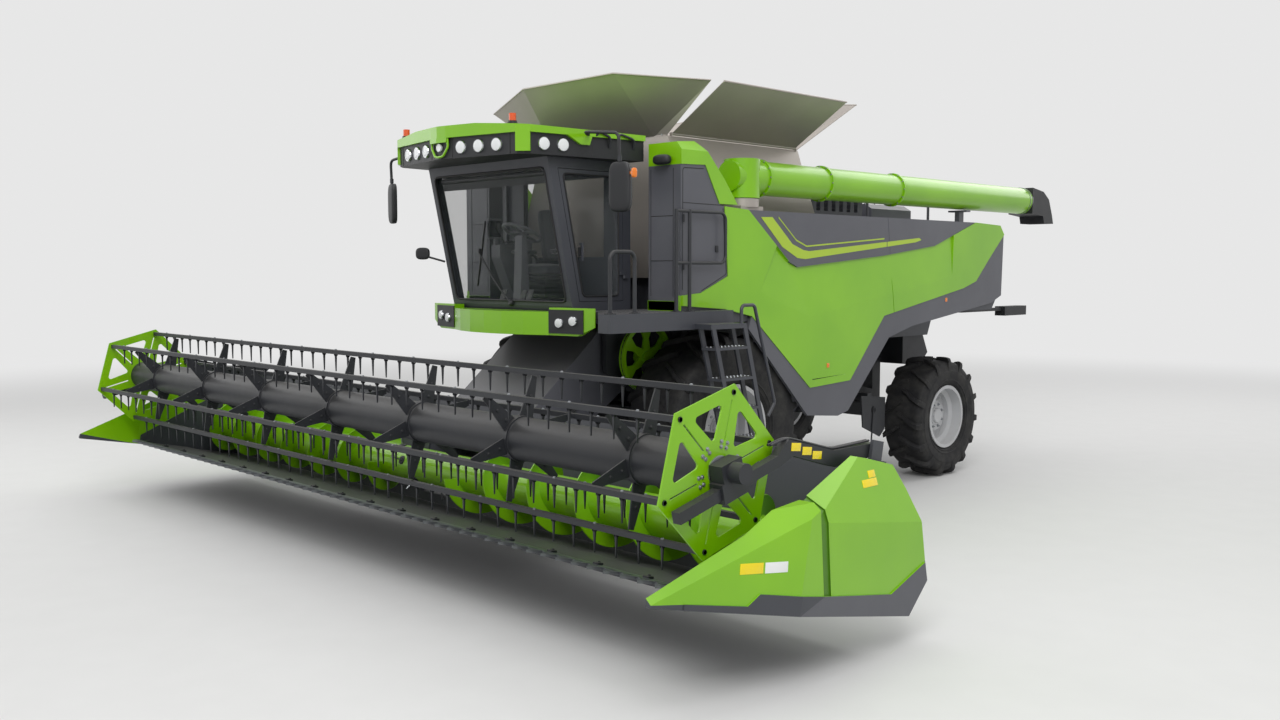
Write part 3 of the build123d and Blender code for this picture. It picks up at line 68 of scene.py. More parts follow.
REEL_Y, REEL_Z, REEL_BAR_R, REEL_HALF, REEL_PHASE = -4360, 790, 470, 4225, -3.3
TINE_PITCH = 200
SPOUT_X, SWING_Y, UNLOAD_Z, UNLOAD_R, UNLOAD_END = 1430, -1000, 3360, 165, 4535


# ---------------------------------------------------------------- colour and shader nodes
def colour(code):
    """Linear colour of an sRGB hex code."""
    values = [int(code[place:place + 2], 16) / 255 for place in (1, 3, 5)]
    linear = [v / 12.92 if v <= 0.04045 else ((v + 0.055) / 1.055) ** 2.4 for v in values]
    return (*linear, 1.0)


def add_node(tree, kind, inputs=None, **settings):
    """Adds one shader node, with its settings, and with values or links for its inputs."""
    made = tree.nodes.new(kind)
    for name, value in settings.items():
        setattr(made, name, value)
    for name, value in (inputs or {}).items():
        if isinstance(value, bpy.types.NodeSocket):
            tree.links.new(value, made.inputs[name])
        else:
            made.inputs[name].default_value = value
    return made


def blank_material(name):
    made = bpy.data.materials.new(name)
    made.use_nodes = True
    tree = made.node_tree
    tree.nodes.clear()
    output = tree.nodes.new("ShaderNodeOutputMaterial")
    place = add_node(tree, "ShaderNodeTexCoord").outputs["Object"]
    return made, tree, output, place


def sprayed_enamel(name, paint, shade, rough=0.32, coat=0.35, dust="#8A8272", dust_share=0.10):
    """Enamel sprayed on pressed steel: an even colour that clouds by a few percent over a metre,
    fine orange peel of about 4 mm in the clear coat, and thin pale dust on what faces up."""
    made, tree, output, place = blank_material(name)
    cloud = add_node(tree, "ShaderNodeTexNoise", {"Vector": place, "Scale": 1 / 0.9, "Detail": 3.0})
    even = add_node(tree, "ShaderNodeValToRGB", {"Fac": cloud.outputs["Fac"]})
    first, last = even.color_ramp.elements
    first.position, last.position = 0.3, 0.7
    first.color, last.color = colour(shade), colour(paint)
    facing = add_node(tree, "ShaderNodeNewGeometry")
    up = add_node(tree, "ShaderNodeSeparateXYZ", {"Vector": facing.outputs["Normal"]})
    speck = add_node(tree, "ShaderNodeTexNoise", {"Vector": place, "Scale": 1 / 0.12, "Detail": 6.0,
                                                  "Roughness": 0.7})
    settle = add_node(tree, "ShaderNodeMath", {0: up.outputs["Z"], 1: speck.outputs["Fac"]},
                      operation="MULTIPLY")
    veil = add_node(tree, "ShaderNodeMath", {0: settle.outputs[0], 1: dust_share * 3}, operation="MULTIPLY",
                    use_clamp=True)
    dusty = add_node(tree, "ShaderNodeMix", {"Factor": veil.outputs[0], "A": even.outputs["Color"],
                                             "B": colour(dust)},
                     data_type="RGBA")
    peel = add_node(tree, "ShaderNodeTexNoise", {"Vector": place, "Scale": 1 / (4 * MM), "Detail": 2.0})
    relief = add_node(tree, "ShaderNodeBump", {"Height": peel.outputs["Fac"], "Strength": 0.05,
                                               "Distance": 0.3 * MM})
    rub = add_node(tree, "ShaderNodeMapRange", {"Value": speck.outputs["Fac"], "To Min": rough - 0.05,
                                                "To Max": rough + 0.12})
    skin = add_node(tree, "ShaderNodeBsdfPrincipled",
                    {"Base Color": dusty.outputs["Result"], "Roughness": rub.outputs["Result"],
                     "Normal": relief.outputs["Normal"], "Metallic": 0.0, "IOR": 1.5, "Coat Weight": coat,
                     "Coat Roughness": 0.12})
    tree.links.new(skin.outputs[0], output.inputs["Surface"])
    return made


def tyre_rubber(name):
    """Carbon-black rubber, moulded: dark and matt, with dry soil in the hollows and grit of about 6 mm."""
    made, tree, output, place = blank_material(name)
    soil = add_node(tree, "ShaderNodeTexNoise", {"Vector": place, "Scale": 1 / 0.16, "Detail": 6.0,
                                                 "Roughness": 0.65})
    tone = add_node(tree, "ShaderNodeValToRGB", {"Fac": soil.outputs["Fac"]})
    first, last = tone.color_ramp.elements
    first.position, last.position = 0.42, 0.78
    first.color, last.color = colour("#1B1B1D"), colour("#3B3A38")
    grit = add_node(tree, "ShaderNodeTexNoise", {"Vector": place, "Scale": 1 / (6 * MM), "Detail": 3.0})
    relief = add_node(tree, "ShaderNodeBump", {"Height": grit.outputs["Fac"], "Strength": 0.25,
                                               "Distance": 0.6 * MM})
    skin = add_node(tree, "ShaderNodeBsdfPrincipled",
                    {"Base Color": tone.outputs["Color"], "Roughness": 0.72,
                     "Normal": relief.outputs["Normal"],
                     "Metallic": 0.0, "IOR": 1.52, "Specular IOR Level": 0.35})
    tree.links.new(skin.outputs[0], output.inputs["Surface"])
    return made


def rolled_stainless(name):
    """Stainless sheet as rolled: pale warm grey metal with a soft grain along the sheet, 5 mm apart."""
    made, tree, output, place = blank_material(name)
    stretched = add_node(tree, "ShaderNodeMapping", {"Vector": place,
                                                     "Scale": (1 / (5 * MM), 1 / 0.5, 1 / (5 * MM))})
    grain = add_node(tree, "ShaderNodeTexNoise", {"Vector": stretched.outputs[0], "Scale": 1.0,
                                                  "Detail": 3.0})
    cloud = add_node(tree, "ShaderNodeTexNoise", {"Vector": place, "Scale": 1 / 0.7, "Detail": 3.0})
    tone = add_node(tree, "ShaderNodeValToRGB", {"Fac": cloud.outputs["Fac"]})
    first, last = tone.color_ramp.elements
    first.color, last.color = colour("#9C958F"), colour("#B9B2AB")
    rub = add_node(tree, "ShaderNodeMapRange", {"Value": grain.outputs["Fac"], "To Min": 0.34,
                                                "To Max": 0.52})
    skin = add_node(tree, "ShaderNodeBsdfPrincipled",
                    {"Base Color": tone.outputs["Color"], "Roughness": rub.outputs["Result"],
                     "Metallic": 0.55})
    tree.links.new(skin.outputs[0], output.inputs["Surface"])
    return made


def moulded_plastic(name, dye, rough=0.5, grain_mm=3):
    """ABS or polypropylene, injection moulded: one dye all through, with a leather-like mould grain."""
    made, tree, output, place = blank_material(name)
    cells = add_node(tree, "ShaderNodeTexVoronoi", {"Vector": place, "Scale": 1 / (grain_mm * MM)})
    relief = add_node(tree, "ShaderNodeBump", {"Height": cells.outputs["Distance"], "Strength": 0.15,
                                               "Distance": 0.2 * MM})
    wear = add_node(tree, "ShaderNodeTexNoise", {"Vector": place, "Scale": 1 / 0.2, "Detail": 4.0})
    rub = add_node(tree, "ShaderNodeMapRange", {"Value": wear.outputs["Fac"], "To Min": rough - 0.08,
                                                "To Max": rough + 0.1})
    skin = add_node(tree, "ShaderNodeBsdfPrincipled",
                    {"Base Color": colour(dye), "Roughness": rub.outputs["Result"],
                     "Normal": relief.outputs["Normal"],
                     "Metallic": 0.0, "IOR": 1.49})
    tree.links.new(skin.outputs[0], output.inputs["Surface"])
    return made


def bare_metal(name, tint, rough, grain_mm=2):
    """Machined or plated steel: a clear metal, with turning or handling marks a few millimetres apart."""
    made, tree, output, place = blank_material(name)
    marks = add_node(tree, "ShaderNodeTexNoise", {"Vector": place, "Scale": 1 / (grain_mm * MM),
                                                  "Detail": 4.0})
    rub = add_node(tree, "ShaderNodeMapRange", {"Value": marks.outputs["Fac"], "To Min": rough,
                                                "To Max": rough + 0.15})
    skin = add_node(tree, "ShaderNodeBsdfPrincipled",
                    {"Base Color": colour(tint), "Roughness": rub.outputs["Result"], "Metallic": 1.0})
    tree.links.new(skin.outputs[0], output.inputs["Surface"])
    return made


def tinted_glass(name, tint, alpha):
    """Toughened cab glass: thin, faintly tinted, with a smeared film of dust that shows in the gloss."""
    made, tree, output, place = blank_material(name)
    film = add_node(tree, "ShaderNodeTexNoise", {"Vector": place, "Scale": 1 / 0.3, "Detail": 4.0})
    rub = add_node(tree, "ShaderNodeMapRange", {"Value": film.outputs["Fac"], "To Min": 0.03, "To Max": 0.12})
    skin = add_node(tree, "ShaderNodeBsdfPrincipled",
                    {"Base Color": colour(tint), "Roughness": rub.outputs["Result"], "Metallic": 0.0,
                     "IOR": 1.5,
                     "Alpha": alpha})
    tree.links.new(skin.outputs[0], output.inputs["Surface"])
    return made


def woven_seat_cloth(name):
    """Woven polyester seat cover: dark, soft, with threads drawn 4 mm apart so that they show."""
    made, tree, output, place = blank_material(name)
    warp = add_node(tree, "ShaderNodeTexWave", {"Vector": place, "Scale": 1 / (4 * MM) / 6.28,
                                                "Distortion": 0.5})
    relief = add_node(tree, "ShaderNodeBump", {"Height": warp.outputs["Fac"], "Strength": 0.3,
                                               "Distance": 0.4 * MM})
    skin = add_node(tree, "ShaderNodeBsdfPrincipled",
                    {"Base Color": colour("#4A4B50"), "Roughness": 0.85, "Normal": relief.outputs["Normal"],
                     "Sheen Weight": 0.3, "IOR": 1.45})
    tree.links.new(skin.outputs[0], output.inputs["Surface"])
    return made


def prismatic_film(name, tint):
    """Acrylic reflector, moulded in cells about 4 mm wide: flat bright colour that glints between cells."""
    made, tree, output, place = blank_material(name)
    cells = add_node(tree, "ShaderNodeTexVoronoi", {"Vector": place, "Scale": 1 / (4 * MM)})
    relief = add_node(tree, "ShaderNodeBump", {"Height": cells.outputs["Distance"], "Strength": 0.4,
                                               "Distance": 0.4 * MM})
    skin = add_node(tree, "ShaderNodeBsdfPrincipled",
                    {"Base Color": colour(tint), "Roughness": 0.22, "Normal": relief.outputs["Normal"],
                     "Metallic": 0.0, "IOR": 1.49, "Coat Weight": 0.5})
    tree.links.new(skin.outputs[0], output.inputs["Surface"])
    return made


def extruded_rubber(name):
    """EPDM rubber, extruded: black with a dull sheen, and a bloom of wax that lightens it in patches."""
    made, tree, output, place = blank_material(name)
    bloom = add_node(tree, "ShaderNodeTexNoise", {"Vector": place, "Scale": 1 / 0.08, "Detail": 4.0})
    tone = add_node(tree, "ShaderNodeValToRGB", {"Fac": bloom.outputs["Fac"]})
    first, last = tone.color_ramp.elements
    first.color, last.color = colour("#141416"), colour("#242426")
    skin = add_node(tree, "ShaderNodeBsdfPrincipled",
                    {"Base Color": tone.outputs["Color"], "Roughness": 0.62, "Metallic": 0.0, "IOR": 1.5})
    tree.links.new(skin.outputs[0], output.inputs["Surface"])
    return made


LIME = sprayed_enamel("lime enamel", "#88C600", "#7BB900", rough=0.28, coat=0.35, dust_share=0.04)
# darker lime that paints the shade in the recessed groove of each divider's seam
LIME_PAINTED_SHADE = sprayed_enamel("lime enamel with painted shade in a seam", "#4F8408", "#457606", rough=0.45, coat=0.1,
                             dust_share=0.05)
GREY = sprayed_enamel("grey enamel", "#5A5B62", "#515259", rough=0.42, coat=0.15)
SLATE = sprayed_enamel("slate enamel", "#42444B", "#3A3C43", rough=0.45, coat=0.1)
GRAPHITE = sprayed_enamel("graphite chassis paint", "#292B30", "#212327", rough=0.5, coat=0.05,
                          dust_share=0.06)
SILVER = sprayed_enamel("silver wheel enamel", "#C3C4C6", "#B2B3B6", rough=0.38, coat=0.2)
RUBBER = tyre_rubber("tyre rubber")
STAINLESS = rolled_stainless("rolled stainless sheet")
BLACK_ABS = moulded_plastic("black moulded ABS", "#202124")
GREY_ABS = moulded_plastic("grey moulded ABS", "#6A6B70")
KNIFE = bare_metal("ground knife steel", "#7C7F82", 0.35)
CHROME = bare_metal("hard-chromed rod", "#D5D7DA", 0.08)
CAST = sprayed_enamel("cast engine paint", "#3A3B3D", "#2C2D2F", rough=0.6, coat=0.0)
GLASS = tinted_glass("toughened cab glass", "#4A5252", 0.15)
LENS = tinted_glass("clear lamp lens", "#F3F5F6", 0.95)
SEAT_CLOTH = woven_seat_cloth("woven seat cloth")
ZINC = bare_metal("zinc-plated steel", "#9EA1A5", 0.3)
SPRING = bare_metal("oil-tempered spring wire", "#3B3C40", 0.4)
MIRROR = bare_metal("silvered mirror glass", "#C9CED2", 0.04)
SEAL_RUBBER = extruded_rubber("extruded EPDM rubber")
STRIPE_FILM = sprayed_enamel("yellow-green stripe enamel", "#B4D22B", "#A9C725", rough=0.3, coat=0.3)
YELLOW_FILM = prismatic_film("yellow prismatic acrylic", "#FADF00")
WHITE_FILM = prismatic_film("white prismatic acrylic", "#F1F2F2")
AMBER_FILM = prismatic_film("amber prismatic acrylic", "#F07F13")
RED_LENS = prismatic_film("red prismatic acrylic", "#C3161C")
BEACON_AMBER = prismatic_film("orange beacon acrylic", "#E4571B")
SCREEN_GLASS = tinted_glass("dark display glass", "#0E1418", 1.0)

SLOTS = {  # the record's slot for each finish
    "green_paint": (LIME, LIME_PAINTED_SHADE, STRIPE_FILM), "grey_paint": (GREY,), "dark_paint": (SLATE, GRAPHITE),
    "silver_paint": (SILVER,), "tyre": (RUBBER,), "glass": (GLASS, SCREEN_GLASS),
           "steel": (KNIFE, ZINC, SPRING),
    "stainless": (STAINLESS,), "chrome": (CHROME, MIRROR), "black_plastic": (BLACK_ABS, GREY_ABS,
                                                                             SEAL_RUBBER),
    "fabric": (SEAT_CLOTH,), "cast": (CAST,),
    "lamp": (LENS, YELLOW_FILM, WHITE_FILM, AMBER_FILM, RED_LENS, BEACON_AMBER),
}

FINISHES = {
    LIME: "side_panels front_bumper cab_roof tower_caps divider_left divider_right feed_auger reel_plates "
          "unload_tube drive_pulley",
    GREY: "side_trims tank_towers rear_hood engine_deck feeder_house",
    SLATE: "separator_body cab_shell door_frame platform header_frame",
    GRAPHITE: "chassis_frame front_axle rear_axle handrails straw_chopper reel_arms reel_slides reel_frame "
              "knuckle_left knuckle_right lift_barrels " + " ".join(f"tine_bar_{n}" for n in range(1, 7)),
    SILVER: " ".join(f"rim_{end}_{side}" for end in ("front", "rear") for side in ("left", "right")),
    RUBBER: " ".join(f"tyre_{end}_{side}" for end in ("front", "rear") for side in ("left", "right")),
    GLASS: "cab_windows door_glass",
    LENS: "lamps",
    KNIFE: "cutter_bar",
    STAINLESS: "grain_tank tank_end_walls tank_flap_left tank_flap_right",
    CHROME: "lift_rods",
    BLACK_ABS: "mirrors unload_spout lamp_housings",
    GREY_ABS: "control_console",
    SEAT_CLOTH: "driver_seat",
    CAST: "engine",
}


def finish_nodes():
    for finish, names in FINISHES.items():
        for name in names.split():
            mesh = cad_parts[name].data
            mesh.materials.clear()
            mesh.materials.append(finish)


# ---------------------------------------------------------------- making pieces
def mm(*values):
    """Millimetres to metres."""
    return tuple(value * MM for value in values)


def raised(x, y, z):
    """Place in metres of a point given in millimetres on the lowered, level header."""
    turn = math.radians(HEADER_RAISE)
    dy, dz = y - PIVOT_Y, z - PIVOT_Z
    return mm(x, PIVOT_Y + dy * math.cos(turn) + dz * math.sin(turn),
              PIVOT_Z - dy * math.sin(turn) + dz * math.cos(turn))


def piece(name, body, finish, verts, faces, smooth=30):
    """Mesh piece that rides on a body; edges sharper than the smooth angle stay crisp."""
    mesh = bpy.data.meshes.new(name)
    mesh.from_pydata([tuple(v) for v in verts], [], faces)
    mesh.validate()
    mesh.materials.append(finish)
    if smooth:
        mesh.shade_smooth()
        mesh.set_sharp_from_angle(angle=math.radians(smooth))
    made = bpy.data.objects.new(name, mesh)
    bpy.context.scene.collection.objects.link(made)
    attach(made, body)
    next(slot for slot, finishes in SLOTS.items() if finish in finishes)
    return made


def ring_faces(count, sides, closed=False, capped=True):
    """Faces that join each ring of points to the next: closed joins the last to the first, and capped
    fills both ends of a row that isn't closed."""
    faces = []
    for n in range(count if closed else count - 1):
        a, b = n * sides, (n + 1) % count * sides
        for k in range(sides):
            faces.append((a + k, a + (k + 1) % sides, b + (k + 1) % sides, b + k))
    if capped and not closed:
        faces.append(tuple(range(sides))[::-1])
        faces.append(tuple((count - 1) * sides + k for k in range(sides)))
    return faces


def mesh_of(form):
    """Verts and faces of a bmesh, which is then freed."""
    form.verts.index_update()
    verts = [tuple(vert.co) for vert in form.verts]
    faces = [tuple(vert.index for vert in face.verts) for face in form.faces]
    form.free()
    return verts, faces


class Shape:
    """Verts and faces gathered from several forms into one piece."""

    def __init__(self):
        self.verts, self.faces = [], []

    def add(self, verts, faces):
        start = len(self.verts)
        self.verts += [tuple(v) for v in verts]
        self.faces += [tuple(start + corner for corner in face) for face in faces]

    def made(self, name, body, finish, smooth=30):
        return piece(name, body, finish, self.verts, self.faces, smooth)


def tube_form(points, radius, sides=12, closed=False):
    """Round tube through points in metres, with flat ends."""
    points = [Vector(p) for p in points]
    count = len(points)
    verts = []
    side = None
    for n, point in enumerate(points):
        before = points[n - 1] if n or closed else point
        after = points[(n + 1) % count] if n + 1 < count or closed else point
        run = (after - before).normalized()
        if side is None:
            side = run.orthogonal().normalized()
        side = (side - run * side.dot(run)).normalized()
        other = run.cross(side)
        for k in range(sides):
            turn = 2 * math.pi * k / sides
            verts.append(point + (side * math.cos(turn) + other * math.sin(turn)) * radius)
    return verts, ring_faces(count, sides, closed)


def rounded_path(points, bend, steps=5):
    """Points in metres of a path whose corners are rounded by one radius in millimetres."""
    points = [Vector(p) for p in points]
    path = [points[0]]
    for before, corner, after in zip(points, points[1:], points[2:]):
        back, ahead = (before - corner), (after - corner)
        room = min(bend * MM, back.length * 0.45, ahead.length * 0.45)
        start, end = corner + back.normalized() * room, corner + ahead.normalized() * room
        for step in range(steps + 1):
            t = step / steps
            path.append(start * (1 - t) ** 2 + corner * (2 * t * (1 - t)) + end * t ** 2)
    return path + [points[-1]]


def turned_form(profile, centre, axis, sides=32, ring=False):
    """Lathe form from (distance along axis, radius) pairs in millimetres; a ring's profile is closed."""
    run = Vector(axis).normalized()
    side = run.orthogonal().normalized()
    other = run.cross(side)
    centre = Vector(centre)
    verts = []
    for along, radius in profile:
        for k in range(sides):
            turn = 2 * math.pi * k / sides
            spoke = side * math.cos(turn) + other * math.sin(turn)
            verts.append(centre + run * along * MM + spoke * radius * MM)
    return verts, ring_faces(len(profile), sides, ring)


def slab_form(low, high, chamfer=3, place=None):
    """Box between two corners in millimetres with chamfered edges; place turns its points into metres."""
    place = place or mm
    form = bmesh.new()
    bmesh.ops.create_cube(form, size=1)
    for vert in form.verts:
        vert.co = Vector([(a + b) / 2 + c * (b - a) for a, b, c in zip(low, high, vert.co)])
    if chamfer:
        bmesh.ops.bevel(form, geom=form.edges[:], offset=chamfer, segments=2, profile=0.6, affect="EDGES")
    verts, faces = mesh_of(form)
    return [place(*vert) for vert in verts], faces


def plate_form(outline, thickness, chamfer=0):
    """Flat plate from its corners in metres, thickened along its own normal in millimetres."""
    form = bmesh.new()
    foot = [form.verts.new(corner) for corner in outline]
    face = form.faces.new(foot)
    form.normal_update()
    rise = face.normal * thickness * MM
    top = [form.verts.new(vert.co + rise) for vert in foot]
    form.faces.new(top)
    for n in range(len(foot)):
        form.faces.new((foot[n - 1], foot[n], top[n], top[n - 1]))
    bmesh.ops.recalc_face_normals(form, faces=form.faces[:])
    if chamfer:
        rims = [edge for edge in form.edges if edge.calc_face_angle(0) > 0.5]
        bmesh.ops.bevel(form, geom=rims, offset=chamfer * MM, segments=2, profile=0.6, affect="EDGES")
    return mesh_of(form)


def bolt_form(place, axis, size=12, washer=True):
    """Hexagon head on a washer: size is half its width across flats in millimetres."""
    shape = Shape()
    run = Vector(axis).normalized()
    if washer:
        shape.add(*turned_form([(0, size * 1.5), (size * 0.2, size * 1.5), (size * 0.25, size * 1.35)], place,
                               axis, 16))
    base = Vector(place) + run * size * 0.25 * MM
    shape.add(*turned_form([(0, size * 1.12), (size * 0.7, size * 1.12), (size * 0.85, size * 0.85)], base,
                           axis, 6))
    return shape.verts, shape.faces


def bolts(name, body, finish, places, axis, size=12):
    """One piece of bolts at the places given in metres, all facing along one axis."""
    shape = Shape()
    for place in places:
        shape.add(*bolt_form(place, axis, size))
    return shape.made(name, body, finish, 20)


def paint(node, finish, test):
    """Gives a second finish to the faces of a CAD node whose centre, in millimetres, passes the test."""
    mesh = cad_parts[node].data
    if finish.name not in mesh.materials:
        mesh.materials.append(finish)
    index = mesh.materials.find(finish.name)
    for face in mesh.polygons:
        if test(face.center / MM):
            face.material_index = index


# ---------------------------------------------------------------- tyres, rims and axles
def tyre_profile(radius, width, rim_r):
    """Half section of the carcass as (x, radius) in millimetres, from the bead to the middle."""
    carcass = radius - LUG_HEIGHT
    half = width / 2
    knots = [(0.78, rim_r + 6), (0.80, rim_r + 34), (0.93, rim_r + 86), (1.0, (rim_r + carcass) / 2 + 30),
             (0.985, carcass - 110), (0.93, carcass - 45), (0.82, carcass - 12), (0.45, carcass - 3),
             (0.0, carcass)]
    points = [Vector((share * half, r)) for share, r in knots]
    curve = [points[0]]
    padded = [points[0] * 2 - points[1]] + points + [Vector((-points[-2].x, points[-2].y))]
    for n in range(1, len(padded) - 2):
        p0, p1, p2, p3 = padded[n - 1:n + 3]
        for step in range(1, 6):
            t = step / 5
            curve.append(0.5 * (2 * p1 + (p2 - p0) * t + (2 * p0 - 5 * p1 + 4 * p2 - p3) * t ** 2
                                + (3 * p1 - p0 - 3 * p2 + p3) * t ** 3))
    return [(min(point.x, half), point.y) for point in curve]


def tread_bar(shape, radius, width, side, turn, place):
    """One lug, with sloped flanks and rounded edges, that runs from the middle out over the shoulder."""
    carcass = radius - LUG_HEIGHT
    stations = [  # share of the width, lead about the axle, top, foot, half breadth at the top
        (-0.02, 0.0, radius - 1, carcass - 10, 19), (0.10, 2.6, radius, carcass - 10, 20),
        (0.24, 7.2, radius, carcass - 12, 22), (0.38, 10.2, radius - 5, carcass - 24, 26),
        (0.455, 11.6, radius - 16, carcass - 50, 30), (0.492, 12.4, radius - 52, carcass - 84, 31),
        (0.497, 13.0, radius - 120, carcass - 130, 26),
    ]
    section = [(-1.45, 0.0), (-1.12, 0.75), (-0.92, 1.0), (0.92, 1.0), (1.12, 0.75), (1.45, 0.0)]
    verts = []
    for share, lead, top, foot, half in stations:
        for across, up in section:
            r = foot + (top - foot) * up
            angle = math.radians(turn + lead) + across * half / radius
            verts.append(place(side * share * width, r * math.sin(angle), -r * math.cos(angle)))
    shape.add(verts, ring_faces(len(stations), len(section)))


def tyre(name, body, node, size, centre):
    """Carcass with its lugs and sidewall rings, which stands for the smooth tyre of the part."""
    radius, width, rim_r, lugs = size
    cx, cy, cz = centre
    outer = 1 if cx > 0 else -1

    def place(x, y, z):
        return mm(cx + outer * x, cy + y, cz + z)

    half = tyre_profile(radius, width, rim_r)
    profile = half + [(-x, r) for x, r in reversed(half[:-1])]
    sides = 96
    shape = Shape()
    verts, faces = [], []
    for k in range(sides):
        turn = 2 * math.pi * k / sides
        for x, r in profile:
            verts.append(place(x, r * math.sin(turn), -r * math.cos(turn)))
    ring = len(profile)
    for k in range(sides):
        a, b = k * ring, (k + 1) % sides * ring
        for n in range(ring - 1):
            faces.append((a + n, a + n + 1, b + n + 1, b + n))
    shape.add(verts, faces)
    step = 360 / lugs
    for n in range(lugs):
        for side in (1, -1):
            tread_bar(shape, radius, width, side, n * step + (0 if side > 0 else step / 2), place)
    for side in (1, -1):  # raised rings on each sidewall
        for r, proud, breadth in ((rim_r + 62, 3, 6), (rim_r + 96, 5, 12), ((rim_r + radius) / 2 + 62, 4, 8)):
            share = next(x for x, level in half if level >= r)
            ridge = [(share - 4, r - breadth), (share + proud - 2, r - breadth / 2),
                     (share + proud - 2, r + breadth / 2),
                     (share - 4, r + breadth)]
            ridge = [(min(x, width / 2), level) for x, level in ridge]
            shape.add(*turned_form([(side * outer * x, level) for x, level in ridge], mm(cx, cy, cz),
                                   (1, 0, 0), sides,
                                   ring=True))
    made = shape.made(name, body, RUBBER, 35)
    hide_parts(node)


def wheel_trim(name, body, rim_r, centre, nuts):
    """Wheel nuts on their studs round the disc, and the ring of small bolts at the hub."""
    cx, cy, cz = centre
    outer = 1 if cx > 0 else -1
    shape = Shape()
    for n in range(nuts):
        turn = 2 * math.pi * (n + 0.5) / nuts
        r = 0.5 * rim_r - 34
        place = mm(cx + outer * 72, cy + r * math.sin(turn), cz + r * math.cos(turn))
        shape.add(*bolt_form(place, (outer, 0, 0), 13))
        shape.add(*turned_form([(0, 6), (26, 6), (28, 4)], place, (outer, 0, 0), 10))
    hub = 50 + (20 if rim_r > 400 else 0)
    for n in range(8):
        turn = 2 * math.pi * n / 8
        place = mm(cx + outer * 92, cy + (hub + 35) * math.sin(turn), cz + (hub + 35) * math.cos(turn))
        shape.add(*bolt_form(place, (outer, 0, 0), 7, washer=False))
    shape.made(name, body, ZINC, 20)


def running_gear():
    """Tyres and wheel nuts, and the bolts round the final drives."""
    for side, word in SIDES:
        front = (side * FRONT_TRACK_X, FRONT_AXLE_Y, FRONT_TYRE[0])
        rear = (side * REAR_TRACK_X, REAR_AXLE_Y, REAR_TYRE[0])
        tyre(f"tyre_tread_front_{word}", f"front_wheel_{word}", f"tyre_front_{word}", FRONT_TYRE, front)
        tyre(f"tyre_tread_rear_{word}", f"rear_wheel_{word}", f"tyre_rear_{word}", REAR_TYRE, rear)
        wheel_trim(f"wheel_nuts_front_{word}", f"front_wheel_{word}", FRONT_TYRE[2], front, 12)
        wheel_trim(f"wheel_nuts_rear_{word}", f"rear_wheel_{word}", REAR_TYRE[2], rear, 8)
        places = []
        for n in range(10):
            turn = 2 * math.pi * n / 10
            places.append(mm(side * 802, FRONT_AXLE_Y + 195 * math.sin(turn),
                             FRONT_TYRE[0] + 195 * math.cos(turn)))
        bolts(f"final_drive_bolts_{word}", "machine", ZINC, places, (side, 0, 0), 10)


# ---------------------------------------------------------------- header
def smooth_auger():
    """Tube with one rolled flight of each hand, and the fingers in their guides in the middle."""
    shape = Shape()
    end = HEADER_HALF - 30
    shape.add(*turned_form([(-end, 40), (-end, AUGER_TUBE_R - 6), (6 - end, AUGER_TUBE_R),
                            (end - 6, AUGER_TUBE_R),
                            (end, AUGER_TUBE_R - 6), (end, 40)], raised(0, AUGER_Y, AUGER_Z), (1, 0, 0), 48))
    start, stop, per_turn = HEADER_HALF - 40, FEEDER_HALF, 40
    steps = round((start - stop) / AUGER_PITCH * per_turn)
    section = [(-3, AUGER_TUBE_R - 4), (-3, AUGER_R - 7), (-6, AUGER_R - 3), (0, AUGER_R), (6, AUGER_R - 3),
               (3, AUGER_R - 7), (3, AUGER_TUBE_R - 4)]  # across the flight, with its rolled edge
    for side in (1, -1):
        verts = []
        for n in range(steps + 1):
            x = side * (start + (stop - start) * n / steps)
            angle = 2 * math.pi * n / per_turn
            for dx, r in section:
                verts.append(raised(x + dx, AUGER_Y + r * math.sin(angle), AUGER_Z + r * math.cos(angle)))
        shape.add(verts, ring_faces(steps + 1, len(section)))
    made = shape.made("auger_flights", "feed_auger", LIME, 40)
    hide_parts("feed_auger")
    fingers = Shape()
    guides = Shape()
    for n in range(6):
        turn = math.radians(60 * n + 20)
        x = -450 + 180 * n
        out = (-math.sin(turn), math.cos(turn))

        def at(r):
            return raised(x, AUGER_Y + r * out[0], AUGER_Z + r * out[1])
        fingers.add(*tube_form([at(120), at(AUGER_R - 26), at(AUGER_R - 20)], 8 * MM, 12))
        axis = Vector(at(200)) - Vector(at(150))
        guides.add(*turned_form([(0, 40), (8, 38), (12, 30), (12, 12)], at(AUGER_TUBE_R - 3), axis, 20))
    fingers.made("auger_fingers", "feed_auger", ZINC, 30)
    guides.made("auger_finger_guides", "feed_auger", BLACK_ABS, 30)


def knife():
    """Triangular knife sections along the back of the guards, and the bolted clips that hold them down."""
    shape = Shape()
    inner = HEADER_HALF - 34
    count = 2 * int(inner / SECTION_PITCH)
    for n in range(count):
        x = (n - (count - 1) / 2) * SECTION_PITCH
        outline = [(x - 36, KNIFE_Y - 30), (x - 36, KNIFE_Y - 52), (x - 8, KNIFE_Y - 108),
                   (x + 8, KNIFE_Y - 108),
                   (x + 36, KNIFE_Y - 52), (x + 36, KNIFE_Y - 30)]
        shape.add(*plate_form([raised(px, py, PAN_Z + 47) for px, py in outline], 3))
    shape.made("knife_sections", "header", KNIFE, 20)
    clips = Shape()
    for n in range(19):
        x = (n - 9) * 2 * inner / 19
        clips.add(*slab_form((x - 25, KNIFE_Y - 34, PAN_Z + 47), (x + 25, KNIFE_Y + 18, PAN_Z + 62), 4,
                             raised))
        clips.add(*bolt_form(raised(x, KNIFE_Y, PAN_Z + 62), (0, math.sin(math.radians(HEADER_RAISE)), 1), 8))
    clips.made("knife_clips", "header", GRAPHITE, 30)


def reel_point(angle, radius):
    """The y and z, in millimetres on the level header, of a point of the reel at an angle and a radius."""
    turn = math.radians(angle)
    return REEL_Y - radius * math.sin(turn), REEL_Z + radius * math.cos(turn)


